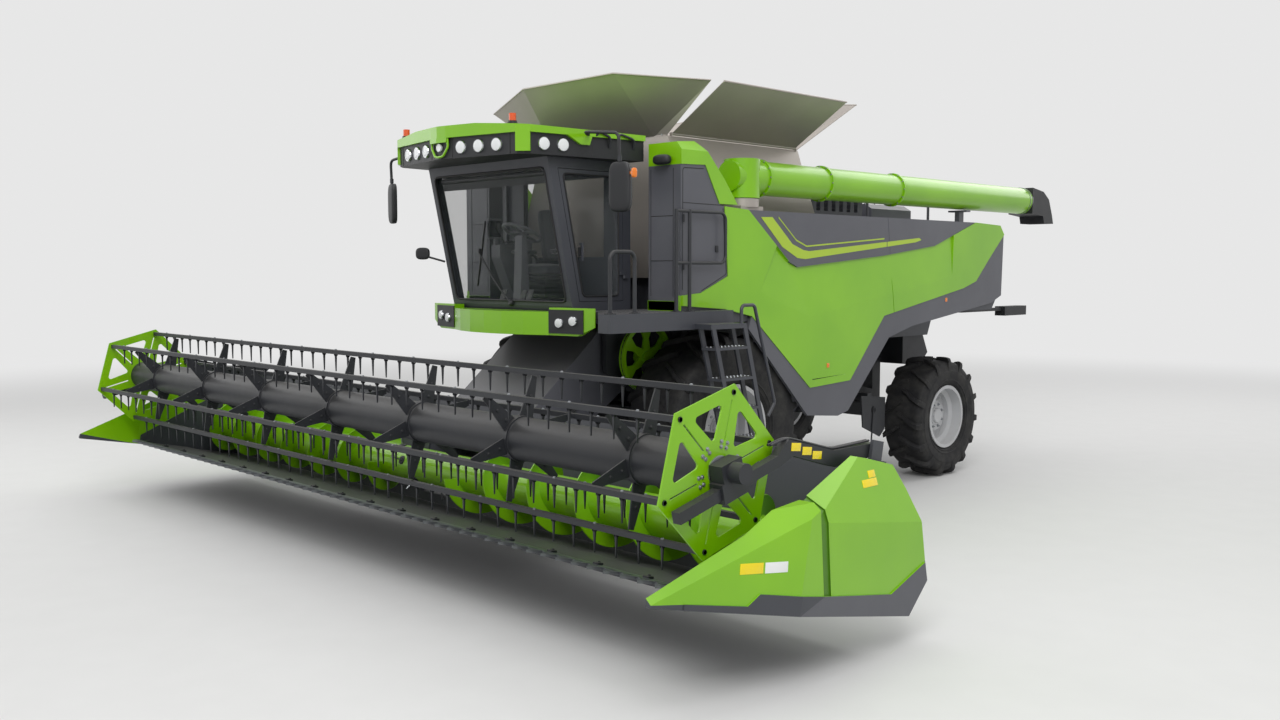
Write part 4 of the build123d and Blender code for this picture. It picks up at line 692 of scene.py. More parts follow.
def reel_dress():
    """Spring coils at the root of each tine, bolts on the spiders and on the end plates."""
    count = 2 * int((REEL_HALF - 30) / TINE_PITCH)
    for bar in range(6):
        y, z = reel_point(REEL_PHASE + 60 * bar, REEL_BAR_R)
        cy, cz = Vector(raised(0, y, z)).yz
        coils = Shape()
        straps = Shape()
        for n in range(count):
            x = (n - (count - 1) / 2) * TINE_PITCH * MM
            path = []
            for step in range(19):
                turn = 2 * math.pi * step / 8
                path.append((x + (step / 18 - 0.5) * 0.034, cy + 0.010 * math.cos(turn),
                             cz - 0.024 + 0.010 * math.sin(turn)))
            coils.add(*tube_form(path, 0.0035, 5))
            if n % 3 == 0:
                straps.add(*bolt_form((x, cy, cz + 0.018), (0, 0, 1), 8))
        coils.made(f"tine_coils_{bar + 1}", f"tine_bar_{bar + 1}", SPRING, 60)
        straps.made(f"tine_bolts_{bar + 1}", f"tine_bar_{bar + 1}", ZINC, 20)
    shape = Shape()
    normal = {1: (1, 0, 0), -1: (-1, 0, 0)}
    for side in (1, -1):
        for bar in range(6):
            angle = REEL_PHASE + 60 * bar
            for radius in (205, 235):
                for lean in (-9, 9):
                    y, z = reel_point(angle + lean, radius - 60)
                    shape.add(*bolt_form(raised(side * (REEL_HALF + 12), y, z), normal[side], 9))
        shape.add(*turned_form([(0, 95), (6, 95), (8, 88), (8, 40)],
                               raised(side * (REEL_HALF + 12), REEL_Y, REEL_Z),
                               normal[side], 40))
    shape.made("reel_plate_bolts", "reel", ZINC, 20)
    bearings = Shape()
    for side in (1, -1):
        for bar in range(6):
            y, z = reel_point(REEL_PHASE + 60 * bar, REEL_BAR_R)
            bearings.add(*turned_form([(0, 16), (6, 16), (8, 13), (8, 8)],
                                      raised(side * (REEL_HALF + 12), y, z),
                                      normal[side], 24))
    bearings.made("reel_bar_bearings", "reel", BLACK_ABS, 30)
    seams = Shape()
    for station in range(7):
        x = (station - 3) * 2 * REEL_HALF / 7
        for way in (-32, 32):
            seams.add(*turned_form([(-4, 148), (-4, 150), (-2, 153), (2, 153), (4, 150), (4, 148)],
                                   raised(x + way, REEL_Y, REEL_Z), (1, 0, 0), 48, ring=True))
        for bar in range(6):
            angle = REEL_PHASE + 60 * bar
            for radius in (200, 300):
                y, z = reel_point(angle, radius)
                seams.add(*bolt_form(raised(x + 5, y, z), (1, 0, 0), 9))
                seams.add(*bolt_form(raised(x - 5, y, z), (-1, 0, 0), 9))
    seams.made("spider_bolts", "reel", GRAPHITE, 25)


def divider_dress(word):
    """Grey skirt of a divider, slate at its nose, and painted shade in the groove where its two covers meet.
    """
    node = f"divider_{word}"
    turn = math.radians(HEADER_RAISE)

    def level(point):
        dy, dz = point.y - PIVOT_Y, point.z - PIVOT_Z
        return (PIVOT_Y + dy * math.cos(turn) - dz * math.sin(turn),
                PIVOT_Z + dy * math.sin(turn) + dz * math.cos(turn))

    top = [(-4900, 40), (-4236, 60), (-4159, 133), (-3617, 137), (-2893, 158), (-2528, 376), (-2400, 376)]
    slate_end, groove_foot, groove_width, groove_lean = -3560, (-3800, 760), 75, 220 / 747

    def skirt(centre):
        y, z = level(centre)
        for (y0, z0), (y1, z1) in zip(top, top[1:]):
            if y0 <= y <= y1:
                return z < z0 + (z1 - z0) * (y - y0) / (y1 - y0) + 1.5
        return z < 60
    paint(node, GREY, skirt)
    paint(node, SLATE, lambda centre: skirt(centre) and level(centre)[0] < slate_end)

    def sunk(centre):
        y, z = level(centre)
        front = groove_foot[0] + (groove_foot[1] - z) * groove_lean
        in_groove = front - 2 < y < front + groove_width + 2
        return in_groove and not skirt(centre) and abs(centre.x) < DIVIDER_OUT - 1
    # the groove's faces take the darker lime: painted shade for the recess, not a different paint
    paint(node, LIME_PAINTED_SHADE, sunk)


def header_details():
    smooth_auger()
    knife()
    reel_dress()
    for _, word in SIDES:
        divider_dress(word)


# ---------------------------------------------------------------- surfaces to seat small things on
def surface_of(*nodes):
    """Search tree over the faces of CAD nodes, to seat trim on them."""
    verts, faces = [], []
    for node in nodes:
        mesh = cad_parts[node].data
        start = len(verts)
        verts += [vert.co.copy() for vert in mesh.vertices]
        faces += [tuple(start + corner for corner in face.vertices) for face in mesh.polygons]
    return BVHTree.FromPolygons(verts, faces)


def patch(shape, tree, start, aim, size, lean=0.0):
    """Thin plate laid on the surface met from a start point (mm): size is (along, up) in millimetres."""
    sunk, thickness = 0.7, 3.0
    place, normal, _, _ = tree.ray_cast(Vector(mm(*start)), Vector(aim).normalized())
    if normal.dot(Vector(aim)) > 0:
        normal = -normal
    along = Vector((0, 1, 0)) - normal * normal.y
    if along.length < 0.2:
        along = Vector((1, 0, 0)) - normal * normal.x
    along.normalize()
    along = Matrix.Rotation(math.radians(lean), 3, normal) @ along
    up = normal.cross(along)
    if up.z < 0:
        up = -up
    a, b = along * size[0] * MM / 2, up * size[1] * MM / 2
    base = place - normal * sunk * MM
    corners = [base - a - b, base + a - b, base + a + b, base - a + b]
    if (corners[1] - corners[0]).cross(corners[2] - corners[0]).dot(normal) < 0:
        corners = corners[::-1]
    shape.add(*plate_form(corners, thickness, 0.4))


def reflectors():
    """Reflector films on the dividers, the reel arms and the machine's sides."""
    on_divider = [  # name, film, y and z on the level header, size, lean
        ("nose_amber", YELLOW_FILM, -4240, 275, (170, 62), -6),
        ("nose_white", WHITE_FILM, -4060, 294, (170, 62), -6),
        ("crown_amber_low", YELLOW_FILM, -3180, 850, (170, 50), 0),
        ("crown_amber_high", YELLOW_FILM, -3150, 908, (80, 46), 0),
    ]
    for side, word in SIDES:
        def outside(y, z):
            return [value / MM for value in raised(side * (HEADER_HALF + 400), y, z)]
        inward = (-side, 0, 0)
        divider = surface_of(f"divider_{word}")
        for name, finish, y, z, size, lean in on_divider:
            shape = Shape()
            patch(shape, divider, outside(y, z), inward, size, lean * side)
            shape.made(f"reflector_{name}_{word}", "header", finish)
        shape = Shape()
        arm = surface_of("reel_arms", "reel_slides")
        for y, z in ((-3790, 1001), (-3675, 988), (-3566, 973)):
            patch(shape, arm, outside(y, z), inward, (92, 50), -7 * side)
        shape.made(f"reel_arm_reflectors_{word}", "reel_lift", YELLOW_FILM)
        shape = Shape()
        hull = surface_of("side_panels", "side_trims")
        for y, z in ((181, 1500), (2480, 2130)):
            patch(shape, hull, (side * 2000, y, z), inward, (44, 44))
        shape.made(f"side_markers_{word}", "machine", AMBER_FILM)


def swoosh_stripes():
    """Yellow-green stripe and its thin companion line on the dark wedge of each side."""
    low = [(-906, 2979), (-577, 2700), (-338, 2595), (-209, 2585), (1798, 2783), (1920, 2811)]
    high = [(-735, 2984), (-420, 2731), (-243, 2674), (-150, 2664), (1790, 2826), (1878, 2833)]
    pinstripe, half_line = [(-640, 2984), (-360, 2770), (-190, 2712), (1180, 2812)], 7
    seam, seam_width = 1228, 14
    out = BODY_HALF + 32

    def at(line, n, y):
        (y0, z0), (y1, z1) = line[n], line[n + 1]
        return (y, z0 + (z1 - z0) * (y - y0) / (y1 - y0))
    spans = []
    for n in range(len(low) - 1):
        if low[n][0] < seam < low[n + 1][0]:  # the stripe stops at the panel's seam and goes on behind it
            ahead, behind = ([at(line, n, y) for line in (low, high)] for y in (seam, seam + seam_width))
            spans += [(low[n], *ahead, high[n]), (behind[0], low[n + 1], high[n + 1], behind[1])]
        else:
            spans.append((low[n], low[n + 1], high[n + 1], high[n]))
    lines = []
    for (y0, z0), (y1, z1) in zip(pinstripe, pinstripe[1:]):
        lines.append(((y0, z0 - half_line), (y1, z1 - half_line), (y1, z1 + half_line), (y0, z0 + half_line)))
    for side, word in SIDES:
        for name, panels in (("stripe", spans), ("pinstripe", lines)):
            shape = Shape()
            for corners in panels:
                outline = [mm(side * out, *corner) for corner in corners]
                shape.add(*plate_form(outline[::-side], -2))
            shape.made(f"side_{name}_{word}", "machine", STRIPE_FILM, 20)


# ---------------------------------------------------------------- cab
def lamp_dress():
    """Bezel rings and domed lenses of the lamps, and the bases and amber domes of the beacons."""
    beacon_foot, row_height, bumper_heights = 3700, (3550, 3552), (2008, 2028)
    paint("lamps", BEACON_AMBER, lambda centre: centre.z > beacon_foot)
    rows = []
    for side, _ in SIDES:
        for a, b, shares, z in (
            (FASCIA[1], FASCIA[2], (0.20, 0.46, 0.72), row_height[0]),
                                (FASCIA[3], FASCIA[4], (0.29, 0.73), row_height[1]),
        ):
            rows += [(side, a, b, share, z, LAMP_R) for share in shares]
        rows += [(side, *POD, share, z, HEADLAMP_R) for share, z in zip((0.32, 0.72), bumper_heights)]
    bezels, domes, bases = Shape(), Shape(), Shape()
    for side, a, b, share, z, radius in rows:
        x, y = a[0] + (b[0] - a[0]) * share, a[1] + (b[1] - a[1]) * share
        run = Vector((b[0] - a[0], b[1] - a[1], 0)).normalized()
        outward = Vector((run.y * side, -run.x, 0))
        bezel = [(-2, radius + 11), (8, radius + 11), (19, radius + 4), (19, radius + 0.5), (4, radius + 0.5)]
        dome = [(18, radius - 1), (20, radius * 0.86), (22.5, radius * 0.55), (23.5, radius * 0.2)]
        bezels.add(*turned_form(bezel, mm(side * x, y, z), outward, 32))
        domes.add(*turned_form(dome, mm(side * x, y, z), outward, 32))
    for side, _ in SIDES:
        bases.add(*turned_form([(0, 44), (14, 44), (18, 38), (30, 38)], mm(side * 810, -3270, 3712),
                               (0, 0, 1), 32))
    bezels.made("lamp_bezels", "machine", CHROME, 40)
    domes.made("lamp_domes", "machine", LENS, 60)
    bases.made("beacon_bases", "machine", BLACK_ABS, 40)


def cab_dress():
    """Screen seal, wiper and blind, and the seal and lock plate of the door."""
    slope = (CAB_FRONT_HIGH - CAB_FRONT_LOW) / (CAB_TOP - SILL_Z)

    def screen(x, z, out=0):
        return mm(x, CAB_FRONT_LOW + slope * (z - SILL_Z) - out, z)
    half, low, high = SCREEN_HALF, WINDOW_LOW, WINDOW_HIGH
    ring = rounded_path([screen(0, low), screen(half, low), screen(half, high), screen(-half, high),
                         screen(-half, low),
                         screen(0, low)], 60)
    piece("screen_seal", "machine", SEAL_RUBBER, *tube_form(ring, 0.011, 8), 60)
    wiper = Shape()
    wiper.add(*turned_form([(0, 34), (24, 30), (34, 18)], screen(40, low - 22), (0, -1, 0.2), 24))
    arm = [screen(40, low - 20, 26), screen(-120, 2380, 44), screen(-300, 2660, 30)]
    wiper.add(*tube_form(rounded_path(arm, 90), 0.009, 8))
    blade = [screen(-130, 2930, 12), screen(-430, 2330, 12)]
    wiper.add(*tube_form(blade, 0.010, 6))
    wiper.add(*slab_form((-306, -2835, 2640), (-270, -2800, 2680), 4))
    wiper.made("screen_wiper", "machine", BLACK_ABS, 40)
    blind = Shape()
    blind.add(*tube_form([screen(-half + 40, 3330, -60), screen(half - 40, 3330, -60)], 0.028, 16))
    blind.add(*plate_form([screen(-half + 60, 3325, -48), screen(half - 60, 3325, -48),
                           screen(half - 60, 3240, -46),
                           screen(-half + 60, 3240, -46)], 2))
    blind.made("sun_blind", "machine", BLACK_ABS, 40)
    light = [(-2558, 2240), (-2790, 3325), (-2120, 3325), (-2120, 2240)]
    middle = ((light[0][0] + light[-1][0]) / 2, light[0][1])
    ring = rounded_path([mm(CAB_HALF + 1, y, z) for y, z in [middle, *light, middle]], 45)
    piece("door_glass_seal", "cab_door", SEAL_RUBBER, *tube_form(ring, 0.008, 8), 60)
    piece("door_lock_plate", "cab_door", BLACK_ABS, *slab_form((CAB_HALF, -2618, 2600),
                                                               (CAB_HALF + 12, -2566, 2680), 5), 30)


def seat_pad(name, centre, half, lean=0, channels=()):
    """Foam pad: crowned, pulled in between its corners, with sewn channels across its face at some x."""
    form = bmesh.new()
    bmesh.ops.create_cube(form, size=2)
    bmesh.ops.subdivide_edges(form, edges=form.edges[:], cuts=23, use_grid_fill=True)
    turn = math.radians(lean)
    for vert in form.verts:
        u, v, w = vert.co
        reach = (abs(u) ** 6 + abs(v) ** 6 + abs(w) ** 6) ** (1 / 6)
        u, v, w = u / reach, v / reach, w / reach
        crown = max(0, 1 - u * u) * max(0, 1 - v * v)
        x, y = half[0] * u * (1 - 0.05 * (1 - v * v)), half[1] * v * (1 - 0.05 * (1 - u * u))
        z = half[2] * w * (0.72 + 0.28 * crown)
        for line in channels:
            z -= 7 * math.exp(-((x - line) / 7) ** 2) * (1 if w > 0 else 0) * min(1, 4 * crown)
        y, z = y * math.cos(turn) - z * math.sin(turn), y * math.sin(turn) + z * math.cos(turn)
        vert.co = mm(centre[0] + x, centre[1] + y, centre[2] + z)
    pad = piece(name, "machine", SEAT_CLOTH, *mesh_of(form), 180)
    return pad


def seat():
    """Sprung seat: foam cushion, back, headrest and arm pads on a bellows and a steel frame."""
    seat_pad("seat_cushion", (0, -2285, 2478), (250, 185, 62), channels=(-150, -75, 0, 75, 150))
    seat_pad("seat_back", (0, -2108, 2815), (238, 262, 40), lean=98, channels=(-130, 130))
    seat_pad("seat_headrest", (0, -2076, 3160), (128, 78, 36), lean=94)
    for side, word in SIDES:
        seat_pad(f"seat_arm_pad_{word}", (side * 290, -2270, 2652), (38, 148, 26))
    base = Shape()
    bellows = [(0, 190), (18, 205), (40, 180), (62, 205), (84, 180), (106, 205), (128, 180), (150, 205),
               (172, 185)]
    base.add(*turned_form(bellows, mm(0, -2230, SILL_Z + 60), (0, 0, 1), 4))
    base.add(*slab_form((-230, -2380, SILL_Z), (230, -2080, SILL_Z + 55), 8))
    base.add(*slab_form((-235, -2440, 2385), (235, -2110, 2418), 8))
    for side in (1, -1):
        arm = [mm(side * 250, -2135, 2440), mm(side * 272, -2125, 2600), mm(side * 285, -2190, 2632)]
        base.add(*tube_form(rounded_path(arm, 40), 0.014, 10))
        base.add(*tube_form([mm(side * 60, -2075, 3020), mm(side * 60, -2072, 3120)], 0.007, 8))
    made = base.made("seat_base", "machine", BLACK_ABS, 30)
    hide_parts("driver_seat")


def cab_controls():
    """Terminal with its screen, drive lever and keypad on the armrest, pedals, and the floor mat's ribs."""
    piece("terminal_bezel", "machine", BLACK_ABS, *slab_form((-505, -2560, 2800), (-478, -2400, 2962), 5), 40)
    piece("terminal_screen", "machine", SCREEN_GLASS, *plate_form([mm(-476, -2550, 2810),
                                                                   mm(-476, -2410, 2810),
                                                                   mm(-476, -2410, 2952),
                                                                   mm(-476, -2550, 2952)], 1), 0)
    lever = Shape()
    lever.add(*turned_form([(0, 26), (40, 20), (60, 9), (120, 9)], mm(-450, -2420, 2730), (0, -0.1, 1), 20))
    lever.add(*turned_form([(0, 14), (20, 26), (60, 28), (95, 20), (104, 8)], mm(-450, -2432, 2846),
                           (0, -0.25, 1), 20))
    for n in range(4):
        for k in range(3):
            lever.add(*slab_form((-505 + 32 * k, -2370 + 34 * n, 2738), (-481 + 32 * k, -2346 + 34 * n, 2765),
                                 4))
    lever.made("drive_lever", "machine", BLACK_ABS, 40)
    pedals = Shape()
    for x in (-170, 130, 230):
        pedals.add(*plate_form([mm(x - 40, -2640, 2190), mm(x + 40, -2640, 2190), mm(x + 40, -2600, 2290),
                                mm(x - 40, -2600, 2290)], 8, 3))
        pedals.add(*tube_form([mm(x, -2618, 2240), mm(x, -2600, 2155)], 0.010, 8))
    pedals.made("pedals", "machine", GRAPHITE, 30)
    mat = Shape()
    for n in range(14):
        mat.add(*slab_form((-600, -2600 + 40 * n, 2150), (600, -2584 + 40 * n, 2156), 2))
    mat.made("floor_mat_ribs", "machine", SEAL_RUBBER, 30)


def roof_dress():
    """Trim round the prow, seams of the fascia's panels, and grab loops on the roof's sides."""
    prow = Shape()
    for side in (1, -1):
        path = [mm(side * 118, -3455, 3642), mm(side * 122, -3452, 3560), mm(side * 60, -3462, 3482),
                mm(0, -3464, 3476)]
        prow.add(*tube_form(rounded_path(path, 20), 0.011, 10))
    prow.made("prow_trim", "machine", LIME, 60)
    seams = Shape()
    for side in (1, -1):
        for share in (0.06, 0.90):
            a, b = FASCIA[1], FASCIA[2]
            x, y = a[0] + (b[0] - a[0]) * share, a[1] + (b[1] - a[1]) * share
            seams.add(*tube_form([mm(side * x, y, 3466), mm(side * x, y, 3636)], 0.004, 6))
        x, y = 1056, -2585
        seams.add(*tube_form([mm(side * x, y, 3466), mm(side * x, y, 3636)], 0.004, 6))
    seams.made("fascia_seams", "machine", SEAL_RUBBER, 60)
    loops = Shape()
    for side in (1, -1):
        for y0, y1, rise in ((-2560, -2400, 46), (-2330, -2130, 40)):
            x0 = 1085 + (y0 + 2600) * 0.11
            path = [mm(side * (x0 - 20), y0, 3640), mm(side * (x0 + 22), y0 + 15, 3640 + rise),
                    mm(side * (x0 + 28), y1 - 15, 3600 + rise), mm(side * (x0 - 2), y1, 3560)]
            loops.add(*tube_form(rounded_path(path, 60), 0.011, 10))
    loops.made("roof_grab_loops", "machine", GRAPHITE, 60)


def domed_form(centre, half, side=1, turn=0, power=4.0, flat=1.0):
    """Closed rounded shell about a centre in millimetres, turned about the upright; flat cuts it short."""
    form = bmesh.new()
    bmesh.ops.create_cube(form, size=2)
    bmesh.ops.subdivide_edges(form, edges=form.edges[:], cuts=13, use_grid_fill=True)
    angle = math.radians(turn)
    for vert in form.verts:
        reach = sum(abs(value) ** power for value in vert.co) ** (1 / power)
        x, y, z = (value / reach * size for value, size in zip(vert.co, half))
        y = min(y, half[1] * flat)
        vert.co = mm(side * (centre[0] + x * math.cos(angle) - y * math.sin(angle)),
                     centre[1] + x * math.sin(angle) + y * math.cos(angle), centre[2] + z)
    verts, faces = mesh_of(form)
    return verts, [face[::side] for face in faces]


def mirrors():
    """Domed mirror heads on bent arms, their silvered glass, the low kerb mirror, the oval tower lamps
    and the turn repeater."""
    shells, clamps = Shape(), Shape()
    turn = math.radians(20)
    for side, word in SIDES:
        def at(u, v, w):
            x, y = u * math.cos(turn) - v * math.sin(turn), u * math.sin(turn) + v * math.cos(turn)
            return mm(side * (MIRROR_X + x), -2860 + y, 3160 + w)
        shells.add(*domed_form((MIRROR_X, -2860, 3160), (100, 38, 205), side, 20, 4.5, 0.6))
        arm = [(1085, -2650, 3655), (1300, -2880, 3640), (MIRROR_X, -2880, 3600), (MIRROR_X, -2870, 3350)]
        shells.add(*tube_form(rounded_path([mm(side * x, y, z) for x, y, z in arm], 60), 0.014, 14))
        shells.add(*domed_form((1405, -2062, 3455), (98, 47, 46), side, 0, 2.8))
        low, high = sorted((side * 1380, side * 1430))
        shells.add(*slab_form((low, -2062, 3440), (high, TOWER_FRONT, 3470), 4))
        clamps.add(*turned_form([(-22, 19), (22, 19)], mm(side * MIRROR_X, -2870, 3392), (0, 0, 1), 16))
        clamps.add(*turned_form([(-18, 19), (18, 19)], mm(side * 1180, -2752, 3650), (0.66, -0.75, 0), 16))
        rim = []
        for step in range(40):
            angle = 2 * math.pi * step / 40
            u, w = math.cos(angle), math.sin(angle)
            rim.append(at(84 * math.copysign(abs(u) ** 0.5, u), 22.5, 186 * math.copysign(abs(w) ** 0.5, w)))
        glass = Shape()
        glass.add(*plate_form(rim[::-1] if side > 0 else rim, 2))
        glass.made(f"mirror_glass_{word}", "machine", MIRROR, 20)
    shells.add(*domed_form((1120, -2900, 2640), (75, 24, 60), -1, -30, 3.0, 0.6))
    shells.add(*tube_form([mm(-CAB_HALF, -2790, 2560), mm(-1110, -2895, 2620)], 0.010, 12))
    made = shells.made("mirror_shells", "machine", BLACK_ABS, 50)
    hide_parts("mirrors")
    clamps.made("mirror_clamps", "machine", GRAPHITE, 30)
    lamp = Shape()
    lamp.add(*domed_form((1846, -2836, 3270), (20, 22, 40), 1, 0, 3.5))
    lamp.add(*slab_form((1800, -2848, 3258), (1834, -2832, 3282), 3))
    lamp.made("turn_repeater", "machine", AMBER_FILM, 40)


# ---------------------------------------------------------------- hull, platform and rear
def platform_dress():
    """Raised lozenges of the chequer plate, feet of the handrail posts, and grips on the ladder's steps."""
    lozenges = Shape()
    for row in range(38):
        for column in range(19):
            x = 925 + column * 40 + (20 if row % 2 else 0)
            y = -2615 + row * 32
            if x > PLATFORM_OUT - 50:
                continue
            turn = math.radians(45 if (row + column) % 2 else -45)
            ax, ay = 13 * math.cos(turn), 13 * math.sin(turn)
            bx, by = -3.5 * math.sin(turn), 3.5 * math.cos(turn)
            if abs(x - PLATFORM_OUT + 40) < 40 and y > -2700:
                continue
            top = DECK_TOP + 1.6
            verts = [mm(x - ax, y - ay, DECK_TOP), mm(x + bx, y + by, DECK_TOP), mm(x + ax, y + ay, DECK_TOP),
                     mm(x - bx, y - by, DECK_TOP), mm(x - ax * 0.6, y - ay * 0.6, top),
                     mm(x + bx * 0.5, y + by * 0.5, top),
                     mm(x + ax * 0.6, y + ay * 0.6, top), mm(x - bx * 0.5, y - by * 0.5, top)]
            lozenges.add(verts, [(4, 7, 6, 5), (0, 4, 5, 1), (1, 5, 6, 2), (2, 6, 7, 3), (3, 7, 4, 0)])
    lozenges.made("deck_lozenges", "machine", SLATE, 0)
    feet = Shape()
    x = PLATFORM_OUT - 40
    for y in (-2925, -2640, -2130, -1960):
        feet.add(*slab_form((x - 38, y - 34, DECK_TOP), (x + 38, y + 34, DECK_TOP + 8), 2))
        for way in (-26, 26):
            feet.add(*bolt_form(mm(x + way, y, DECK_TOP + 8), (0, 0, 1), 7))
    feet.made("handrail_feet", "machine", GRAPHITE, 25)
    grips = Shape()
    for n in range(5):
        z = 1790 - 280 * n
        y = -1935 + 0.285 * (2000 - z)
        for k in range(9):
            for row in range(3):
                grips.add(*turned_form([(0, 9), (3.5, 7.5), (3.5, 5), (0.5, 4.5)],
                                       mm(PLATFORM_OUT + 55 + 45 * row, y + 45 + 48 * k, z), (0, 0, 1), 10))
    grips.made("step_grips", "machine", ZINC, 30)


def tower_dress():
    """Door seams, hinges and latches of the towers behind the cab, and the strips at their feet."""
    lines, hinges = Shape(), Shape()
    for side in (1, -1):
        x = side * (PANEL_OUT - 8)
        for path in (
            [(-1990, 2300), (-1990, 3380), (-1720, 3385)], [(-1740, 2290), (-1400, 2440), (-1452, 3040)],
            [(-1990, 3075), (-1450, 3068)],
        ):
            lines.add(*tube_form(rounded_path([mm(x, y, z) for y, z in path], 30), 0.0035, 6))
        for z in (2480, 2900):
            hinges.add(*turned_form([(0, 11), (70, 11)], mm(x + side * 6, -1985, z), (0, 0, 1), 12))
        hinges.add(*slab_form((min(x, x + side * 10), -1560, 2640), (max(x, x + side * 10), -1520, 2700), 4))
        face = side * (TOWER_IN + 30)
        lines.add(*tube_form([mm(face, TOWER_FRONT, 2240), mm(face, TOWER_FRONT, 3380)], 0.0035, 6))
        lines.add(*tube_form([mm(side * 1500, TOWER_FRONT, 2240), mm(side * 1500, TOWER_FRONT, 3380)], 0.0035,
                             6))
        for z in (2560, 2960):
            lines.add(*tube_form([mm(face, TOWER_FRONT, z), mm(side * 1500, TOWER_FRONT, z)], 0.0035, 6))
    lines.made("tower_seams", "machine", SEAL_RUBBER, 60)
    hinges.made("tower_hinges", "machine", GRAPHITE, 30)
    base = Shape()
    for side in (1, -1):
        low, high = sorted((side * 1192, side * 1548))
        base.add(*slab_form((low, TOWER_FRONT - 10, DECK_TOP + 2), (high, TOWER_FRONT, 2200), 3))
    base.made("tower_base_strips", "machine", LIME, 30)


def tank_dress():
    """Folded hems and rivets on the walls and flaps, and the levelling auger inside."""
    hems = Shape()
    for y_foot, way in ((TANK_FRONT, -1), (TANK_REAR, 1)):
        y_top = y_foot + way * 460
        path = [mm(-FLAP_TOP_X + 4, y_top - way * 335, 4178), mm(-670, y_top, 4308), mm(670, y_top, 4308),
                mm(FLAP_TOP_X - 4, y_top - way * 335, 4178)]
        hems.add(*tube_form(path, 0.008, 8))
    hems.made("tank_wall_hems", "machine", STAINLESS, 50)
    rivets = Shape()
    for y_foot, way in ((TANK_FRONT, -1), (TANK_REAR, 1)):
        for n in range(13):
            x = -860 + 1720 / 12 * n
            rivets.add(*turned_form([(0, 9), (3, 7), (4, 3)], mm(x, y_foot + way * 5, TANK_MOUTH_Z + 14),
                                    (0, way, 0), 12))
    rivets.made("tank_wall_rivets", "machine", ZINC, 30)
    auger = Shape()
    auger.add(*tube_form([mm(0, TANK_FRONT + 25, 2600), mm(0, TANK_REAR - 25, 2600)], 0.045, 24))
    verts = []
    steps, per_turn = 200, 28
    for n in range(steps + 1):
        y = TANK_FRONT + 40 + (TANK_REAR - TANK_FRONT - 80) * n / steps
        turn = 2 * math.pi * n / per_turn
        for dy, r in ((-2, 42), (-2, 128), (2, 128), (2, 42)):
            verts.append(mm(r * math.sin(turn), y + dy, 2600 + r * math.cos(turn)))
    auger.add(verts, ring_faces(steps + 1, 4, capped=False))
    auger.made("tank_levelling_auger", "machine", GRAPHITE, 40)
    for side, word in SIDES:
        shape = Shape()
        for n in range(9):
            y = TANK_FRONT + 130 + (TANK_REAR - TANK_FRONT - 260) / 8 * n
            lean = Vector((FLAP_TOP_X - TANK_MOUTH_HALF, 0, FLAP_TOP_Z - TANK_MOUTH_Z)).normalized()
            foot = Vector(mm(side * (TANK_MOUTH_HALF + 30), y, TANK_MOUTH_Z + 38))
            lean = Vector((lean.x * side, 0, lean.z))
            shape.add(*turned_form([(0, 9), (3, 7), (4, 3)], foot + lean * 0.03,
                                   (-lean.z * side, 0, lean.x * side), 12))
        shape.made(f"tank_flap_rivets_{word}", f"tank_flap_{word}", ZINC, 30)


def unload_dress():
    """Bolted flange joints, the boot's clamps and a hydraulic line clipped along the unloading tube."""
    shape = Shape()
    for y in (-760, 235, 1555):
        for n in range(12):
            turn = 2 * math.pi * n / 12
            r = UNLOAD_R + 8
            place = mm(SPOUT_X + r * math.sin(turn), y + 15, UNLOAD_Z + r * math.cos(turn))
            shape.add(*bolt_form(place, (0, 1, 0), 6))
            shape.add(*bolt_form(mm(SPOUT_X + r * math.sin(turn), y - 15, UNLOAD_Z + r * math.cos(turn)),
                                 (0, -1, 0), 6))
    shape.made("unload_flange_bolts", "unloading_auger", ZINC, 20)
    ring = Shape()
    for y in (UNLOAD_END - 60, UNLOAD_END - 5):
        ring.add(*turned_form([(0, UNLOAD_R - 1), (0, UNLOAD_R + 6), (10, UNLOAD_R + 6), (10, UNLOAD_R - 1)],
                              mm(SPOUT_X, y, UNLOAD_Z), (0, 1, 0), 40, ring=True))
    ring.made("unload_boot_clamps", "unloading_auger", ZINC, 40)
    line = Shape()
    path = [mm(SPOUT_X - UNLOAD_R + 10, SWING_Y + 120, UNLOAD_Z - 95),
            mm(SPOUT_X - UNLOAD_R + 10, UNLOAD_END - 90, UNLOAD_Z - 95)]
    line.add(*tube_form(path, 0.009, 8))
    for n in range(8):
        y = SWING_Y + 300 + n * 650
        line.add(*turned_form([(-14, 16), (14, 16)], mm(SPOUT_X - UNLOAD_R + 10, y, UNLOAD_Z - 95), (0, 1, 0),
                              10))
    line.made("unload_hydraulic_line", "unloading_auger", GRAPHITE, 40)


def rear_dress():
    """Tail lamps in their rims, hood hinges and latch, and louvre lips."""
    red, amber, rims = Shape(), Shape(), Shape()
    for side in (1, -1):
        low, high = sorted((side * 1242, side * 1358))
        red.add(*slab_form((low, 4876, 1900), (high, 4888, 1962), 5))
        amber.add(*slab_form((low, 4876, 1966), (high, 4888, 1992), 5))
        rims.add(*slab_form((low - 6, 4868, 1892), (high + 6, 4881, 2000), 3))
    red.made("tail_lamp_red", "machine", RED_LENS, 30)
    amber.made("tail_lamp_amber", "machine", AMBER_FILM, 30)
    rims.made("tail_lamp_rims", "machine", BLACK_ABS, 30)
    shape = Shape()
    for x in (-1100, 1100):
        shape.add(*slab_form((x - 60, 3140, 3034), (x + 60, 3220, 3052), 5))
    shape.add(*slab_form((-90, 3760, 2195), (90, 3788, 2235), 6))
    shape.made("hood_hinges", "machine", GRAPHITE, 30)
    lips = Shape()
    for rise in range(5):
        z = 2340 + 100 * rise
        lips.add(*plate_form([mm(-620, 3752, z), mm(620, 3752, z), mm(620, 3782, z - 24),
                              mm(-620, 3782, z - 24)], 3))
    lips.made("hood_louvre_lips", "machine", GREY, 30)


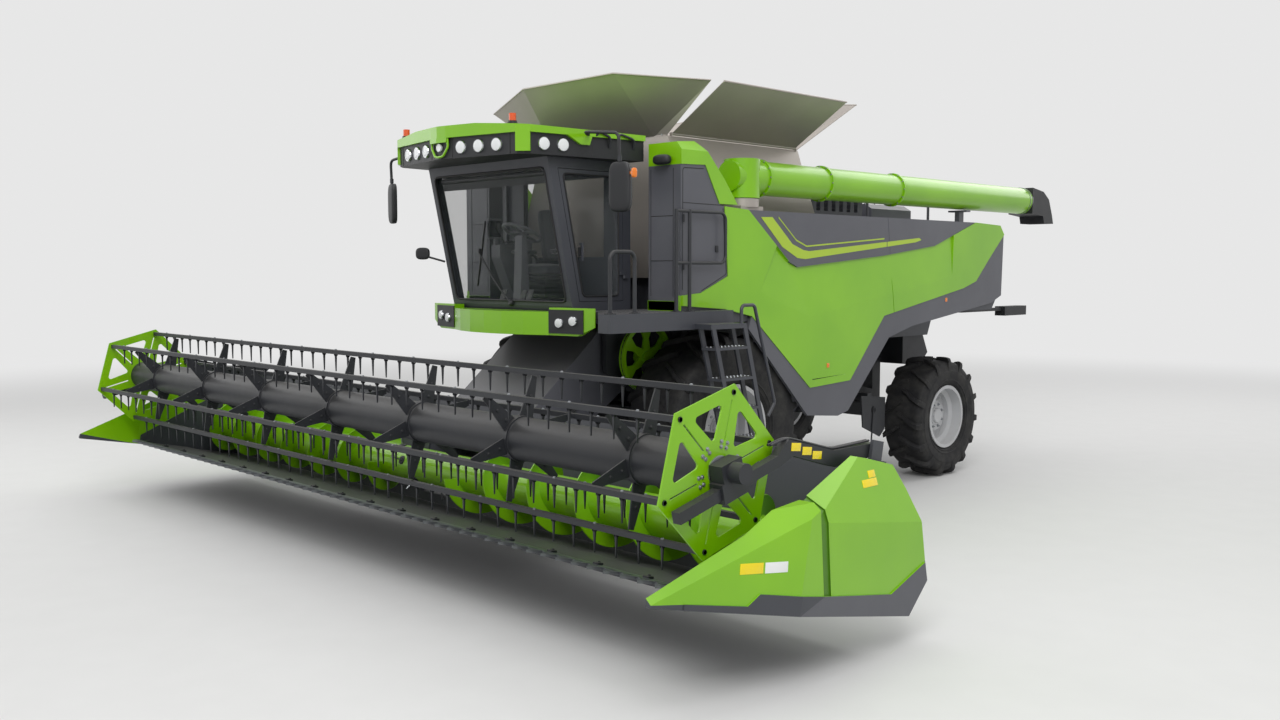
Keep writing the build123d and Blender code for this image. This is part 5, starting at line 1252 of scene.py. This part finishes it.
def engine_dress():
    """Intake bars, ribbed exhaust shield, filler caps and hatch handles on the engine deck."""
    bars = Shape()
    for side in (1, -1):
        for n in range(6):
            slot = 700 + 140 * n
            for k in range(4):
                z = 3150 + 55 * k
                bars.add(*tube_form([mm(side * 1030, slot + 2, z), mm(side * 1030, slot + 68, z)], 0.004, 6))
    bars.made("intake_bars", "machine", GRAPHITE, 50)
    pipe = Shape()
    pipe.add(*turned_form([(0, 92), (300, 92), (306, 86), (306, 78)], mm(-700, 1900, 3080), (0, 0, 1), 40))
    for n in range(6):
        pipe.add(*turned_form([(0, 92), (6, 97), (12, 92)], mm(-700, 1900, 3110 + 44 * n), (0, 0, 1), 40))
    pipe.made("exhaust_shield", "machine", ZINC, 40)
    caps = Shape()
    for x, y in ((760, 1780), (-420, 3020)):
        caps.add(*turned_form([(0, 60), (22, 60), (34, 50), (34, 20), (42, 18), (42, 8)], mm(x, y, 3040),
                              (0, 0, 1), 28))
    caps.made("filler_caps", "machine", BLACK_ABS, 30)
    handles = Shape()
    for x in (-500, 500):
        path = [mm(x - 70, 2500, 3258), mm(x - 70, 2500, 3300), mm(x + 70, 2500, 3300),
                mm(x + 70, 2500, 3258)]
        handles.add(*tube_form(rounded_path(path, 18), 0.007, 8))
    handles.made("hatch_handles", "machine", GRAPHITE, 50)


def belts():
    """V-belt from the drive pulley to its tensioner, on the left of the feeder."""
    y0, z0, y1, z1, big, small = -1665, 1640, -1250, 1880, 322, 70
    run = Vector((y1 - y0, z1 - z0))
    reach = run.length
    base = math.atan2(run.y, run.x)
    wrap = math.acos((big - small) / reach)
    path = []
    for n in range(25):
        turn = base + wrap + (2 * math.pi - 2 * wrap) * n / 24
        path.append((y0 + big * math.cos(turn), z0 + big * math.sin(turn)))
    for n in range(9):
        turn = base - wrap + 2 * wrap * n / 8
        path.append((y1 + small * math.cos(turn), z1 + small * math.sin(turn)))
    piece("feeder_belt", "machine", SEAL_RUBBER, *tube_form([mm(802, y, z) for y, z in path], 0.011, 8,
                                                            closed=True), 50)
    wheel = Shape()
    wheel.add(*turned_form([(0, 30), (0, 78), (8, 78), (16, 62), (24, 78), (32, 78), (32, 30)],
                           mm(786, y1, z1), (1, 0, 0), 40))
    wheel.add(*turned_form([(0, 22), (60, 22)], mm(740, y1, z1), (1, 0, 0), 20))
    wheel.made("belt_tensioner", "machine", GRAPHITE, 40)


def hydraulic_lines():
    """Steel lines clipped along the reel arms and the feeder's side."""
    for side, word in SIDES:
        lines = Shape()
        for offset in (0, 22):
            x = side * (HEADER_HALF - 116 + offset)
            path = [raised(x, -2990, 1122), raised(x, -3390, 1027), raised(x, -3860, 1048),
                    raised(x, -4010, 985)]
            lines.add(*tube_form(rounded_path(path, 60), 0.008, 8))
        lines.made(f"reel_arm_lines_{word}", "reel_lift", GRAPHITE, 50)
    lines = Shape()
    for offset in (0, 26, 52):
        x = FEEDER_HALF + 10
        path = [raised(x, -2990 + offset, 350), raised(x, -2560 + offset, 840),
                raised(x, -2300 + offset, 1140)]
        lines.add(*tube_form(rounded_path(path, 80), 0.010, 8))
    lines.made("feeder_lines", "header", GRAPHITE, 50)


# ---------------------------------------------------------------- putting it together
def machine_details():
    running_gear()
    header_details()
    reflectors()
    swoosh_stripes()
    lamp_dress()
    cab_dress()
    seat()
    cab_controls()
    roof_dress()
    mirrors()
    platform_dress()
    tower_dress()
    tank_dress()
    unload_dress()
    rear_dress()
    engine_dress()
    belts()
    hydraulic_lines()


# ---------------------------------------------------------------- camera, lights and floor
BACKDROP, SKYLIGHT = 0.8, 0.42  # brightness that is seen behind the machine, and that lights it
FADE_START, FADE_END, FLOOR_REACH = 8.0, 24.0, 60  # metres from the origin
CAMERA_PLACE = (8.582, -9.3935, 2.486)
CAMERA_TURN = 45.48
CAMERA_DIP = 4.554
LENS_MM = 32.12


def set_camera():
    eye = bpy.data.cameras.new("view")
    eye.lens, eye.sensor_width, eye.clip_end = LENS_MM, 36.0, 200.0
    holder = bpy.data.objects.new("view", eye)
    holder.location = CAMERA_PLACE
    holder.rotation_euler = (math.radians(90 - CAMERA_DIP), 0, math.radians(CAMERA_TURN))
    bpy.context.scene.collection.objects.link(holder)
    bpy.context.scene.camera = holder


def seen_directly(tree):
    """1 for rays that show a backdrop, straight, mirrored or through glass, and 0 for those that light."""
    paths = add_node(tree, "ShaderNodeLightPath")
    mirrored = add_node(tree, "ShaderNodeMath", {0: paths.outputs["Is Camera Ray"],
                                                 1: paths.outputs["Is Glossy Ray"]},
                        operation="MAXIMUM")
    shown = add_node(tree, "ShaderNodeMath", {0: mirrored.outputs[0],
                                              1: paths.outputs["Is Transmission Ray"]},
                     operation="MAXIMUM")
    return shown.outputs[0]


def set_lights():
    """Four broad panels, and a white world that shows brighter than it shines."""
    panels = [  # name, place, size, watts
        ("key", (9, -9, 11), 8, 1000),
        ("fill", (-10, -8, 8), 10, 450),
        ("back", (2, 14, 10), 10, 600),
        ("overhead", (0, 0, 13), 12, 600),
    ]
    for name, place, size, power in panels:
        lamp = bpy.data.lights.new(name, "AREA")
        lamp.size, lamp.energy = size, power
        holder = bpy.data.objects.new(name, lamp)
        holder.location = place
        holder.rotation_euler = (Vector((0, 0, 1.5)) - Vector(place)).to_track_quat("-Z", "Y").to_euler()
        bpy.context.scene.collection.objects.link(holder)
    world = bpy.data.worlds.new("studio")
    world.use_nodes = True
    bpy.context.scene.world = world
    tree = world.node_tree
    tree.nodes.clear()
    output = tree.nodes.new("ShaderNodeOutputWorld")
    level = add_node(tree, "ShaderNodeMapRange", {"Value": seen_directly(tree), "To Min": SKYLIGHT,
                                                  "To Max": BACKDROP})
    sky = add_node(tree, "ShaderNodeBackground", {"Color": (1, 1, 1, 1), "Strength": level.outputs["Result"]})
    tree.links.new(sky.outputs[0], output.inputs["Surface"])


def lay_floor():
    """Pale floor that takes the shadow, and fades into the backdrop well beyond the machine."""
    made, tree, output, place = blank_material("studio floor")
    grain = add_node(tree, "ShaderNodeTexNoise", {"Vector": place, "Scale": 3.0, "Detail": 4.0})
    tone = add_node(tree, "ShaderNodeValToRGB", {"Fac": grain.outputs["Fac"]})
    first, last = tone.color_ramp.elements
    first.color, last.color = colour("#D9D9D8"), colour("#DEDEDD")
    skin = add_node(tree, "ShaderNodeBsdfPrincipled", {"Base Color": tone.outputs["Color"], "Roughness": 0.8})
    reach_out = add_node(tree, "ShaderNodeVectorMath", {0: place}, operation="LENGTH")
    far = add_node(tree, "ShaderNodeMapRange", {"Value": reach_out.outputs["Value"], "From Min": FADE_START,
                                                "From Max": FADE_END},
                   interpolation_type="SMOOTHSTEP")
    haze = add_node(tree, "ShaderNodeEmission", {"Color": (1, 1, 1, 1), "Strength": BACKDROP})
    share = add_node(tree, "ShaderNodeMath", {0: far.outputs["Result"], 1: seen_directly(tree)},
                     operation="MULTIPLY")
    joined = add_node(tree, "ShaderNodeMixShader", {0: share.outputs[0], 1: skin.outputs[0],
                                                    2: haze.outputs[0]})
    tree.links.new(joined.outputs[0], output.inputs["Surface"])
    mesh = bpy.data.meshes.new("floor")
    corners = [(x * FLOOR_REACH, y * FLOOR_REACH, 0) for x, y in ((-1, -1), (1, -1), (1, 1), (-1, 1))]
    mesh.from_pydata(corners, [], [(0, 1, 2, 3)])
    mesh.materials.append(made)
    floor = bpy.data.objects.new("floor", mesh)
    bpy.context.scene.collection.objects.link(floor)


finish_nodes()
machine_details()
set_camera()
set_lights()
lay_floor()
bpy.context.scene.view_settings.view_transform = "Standard"
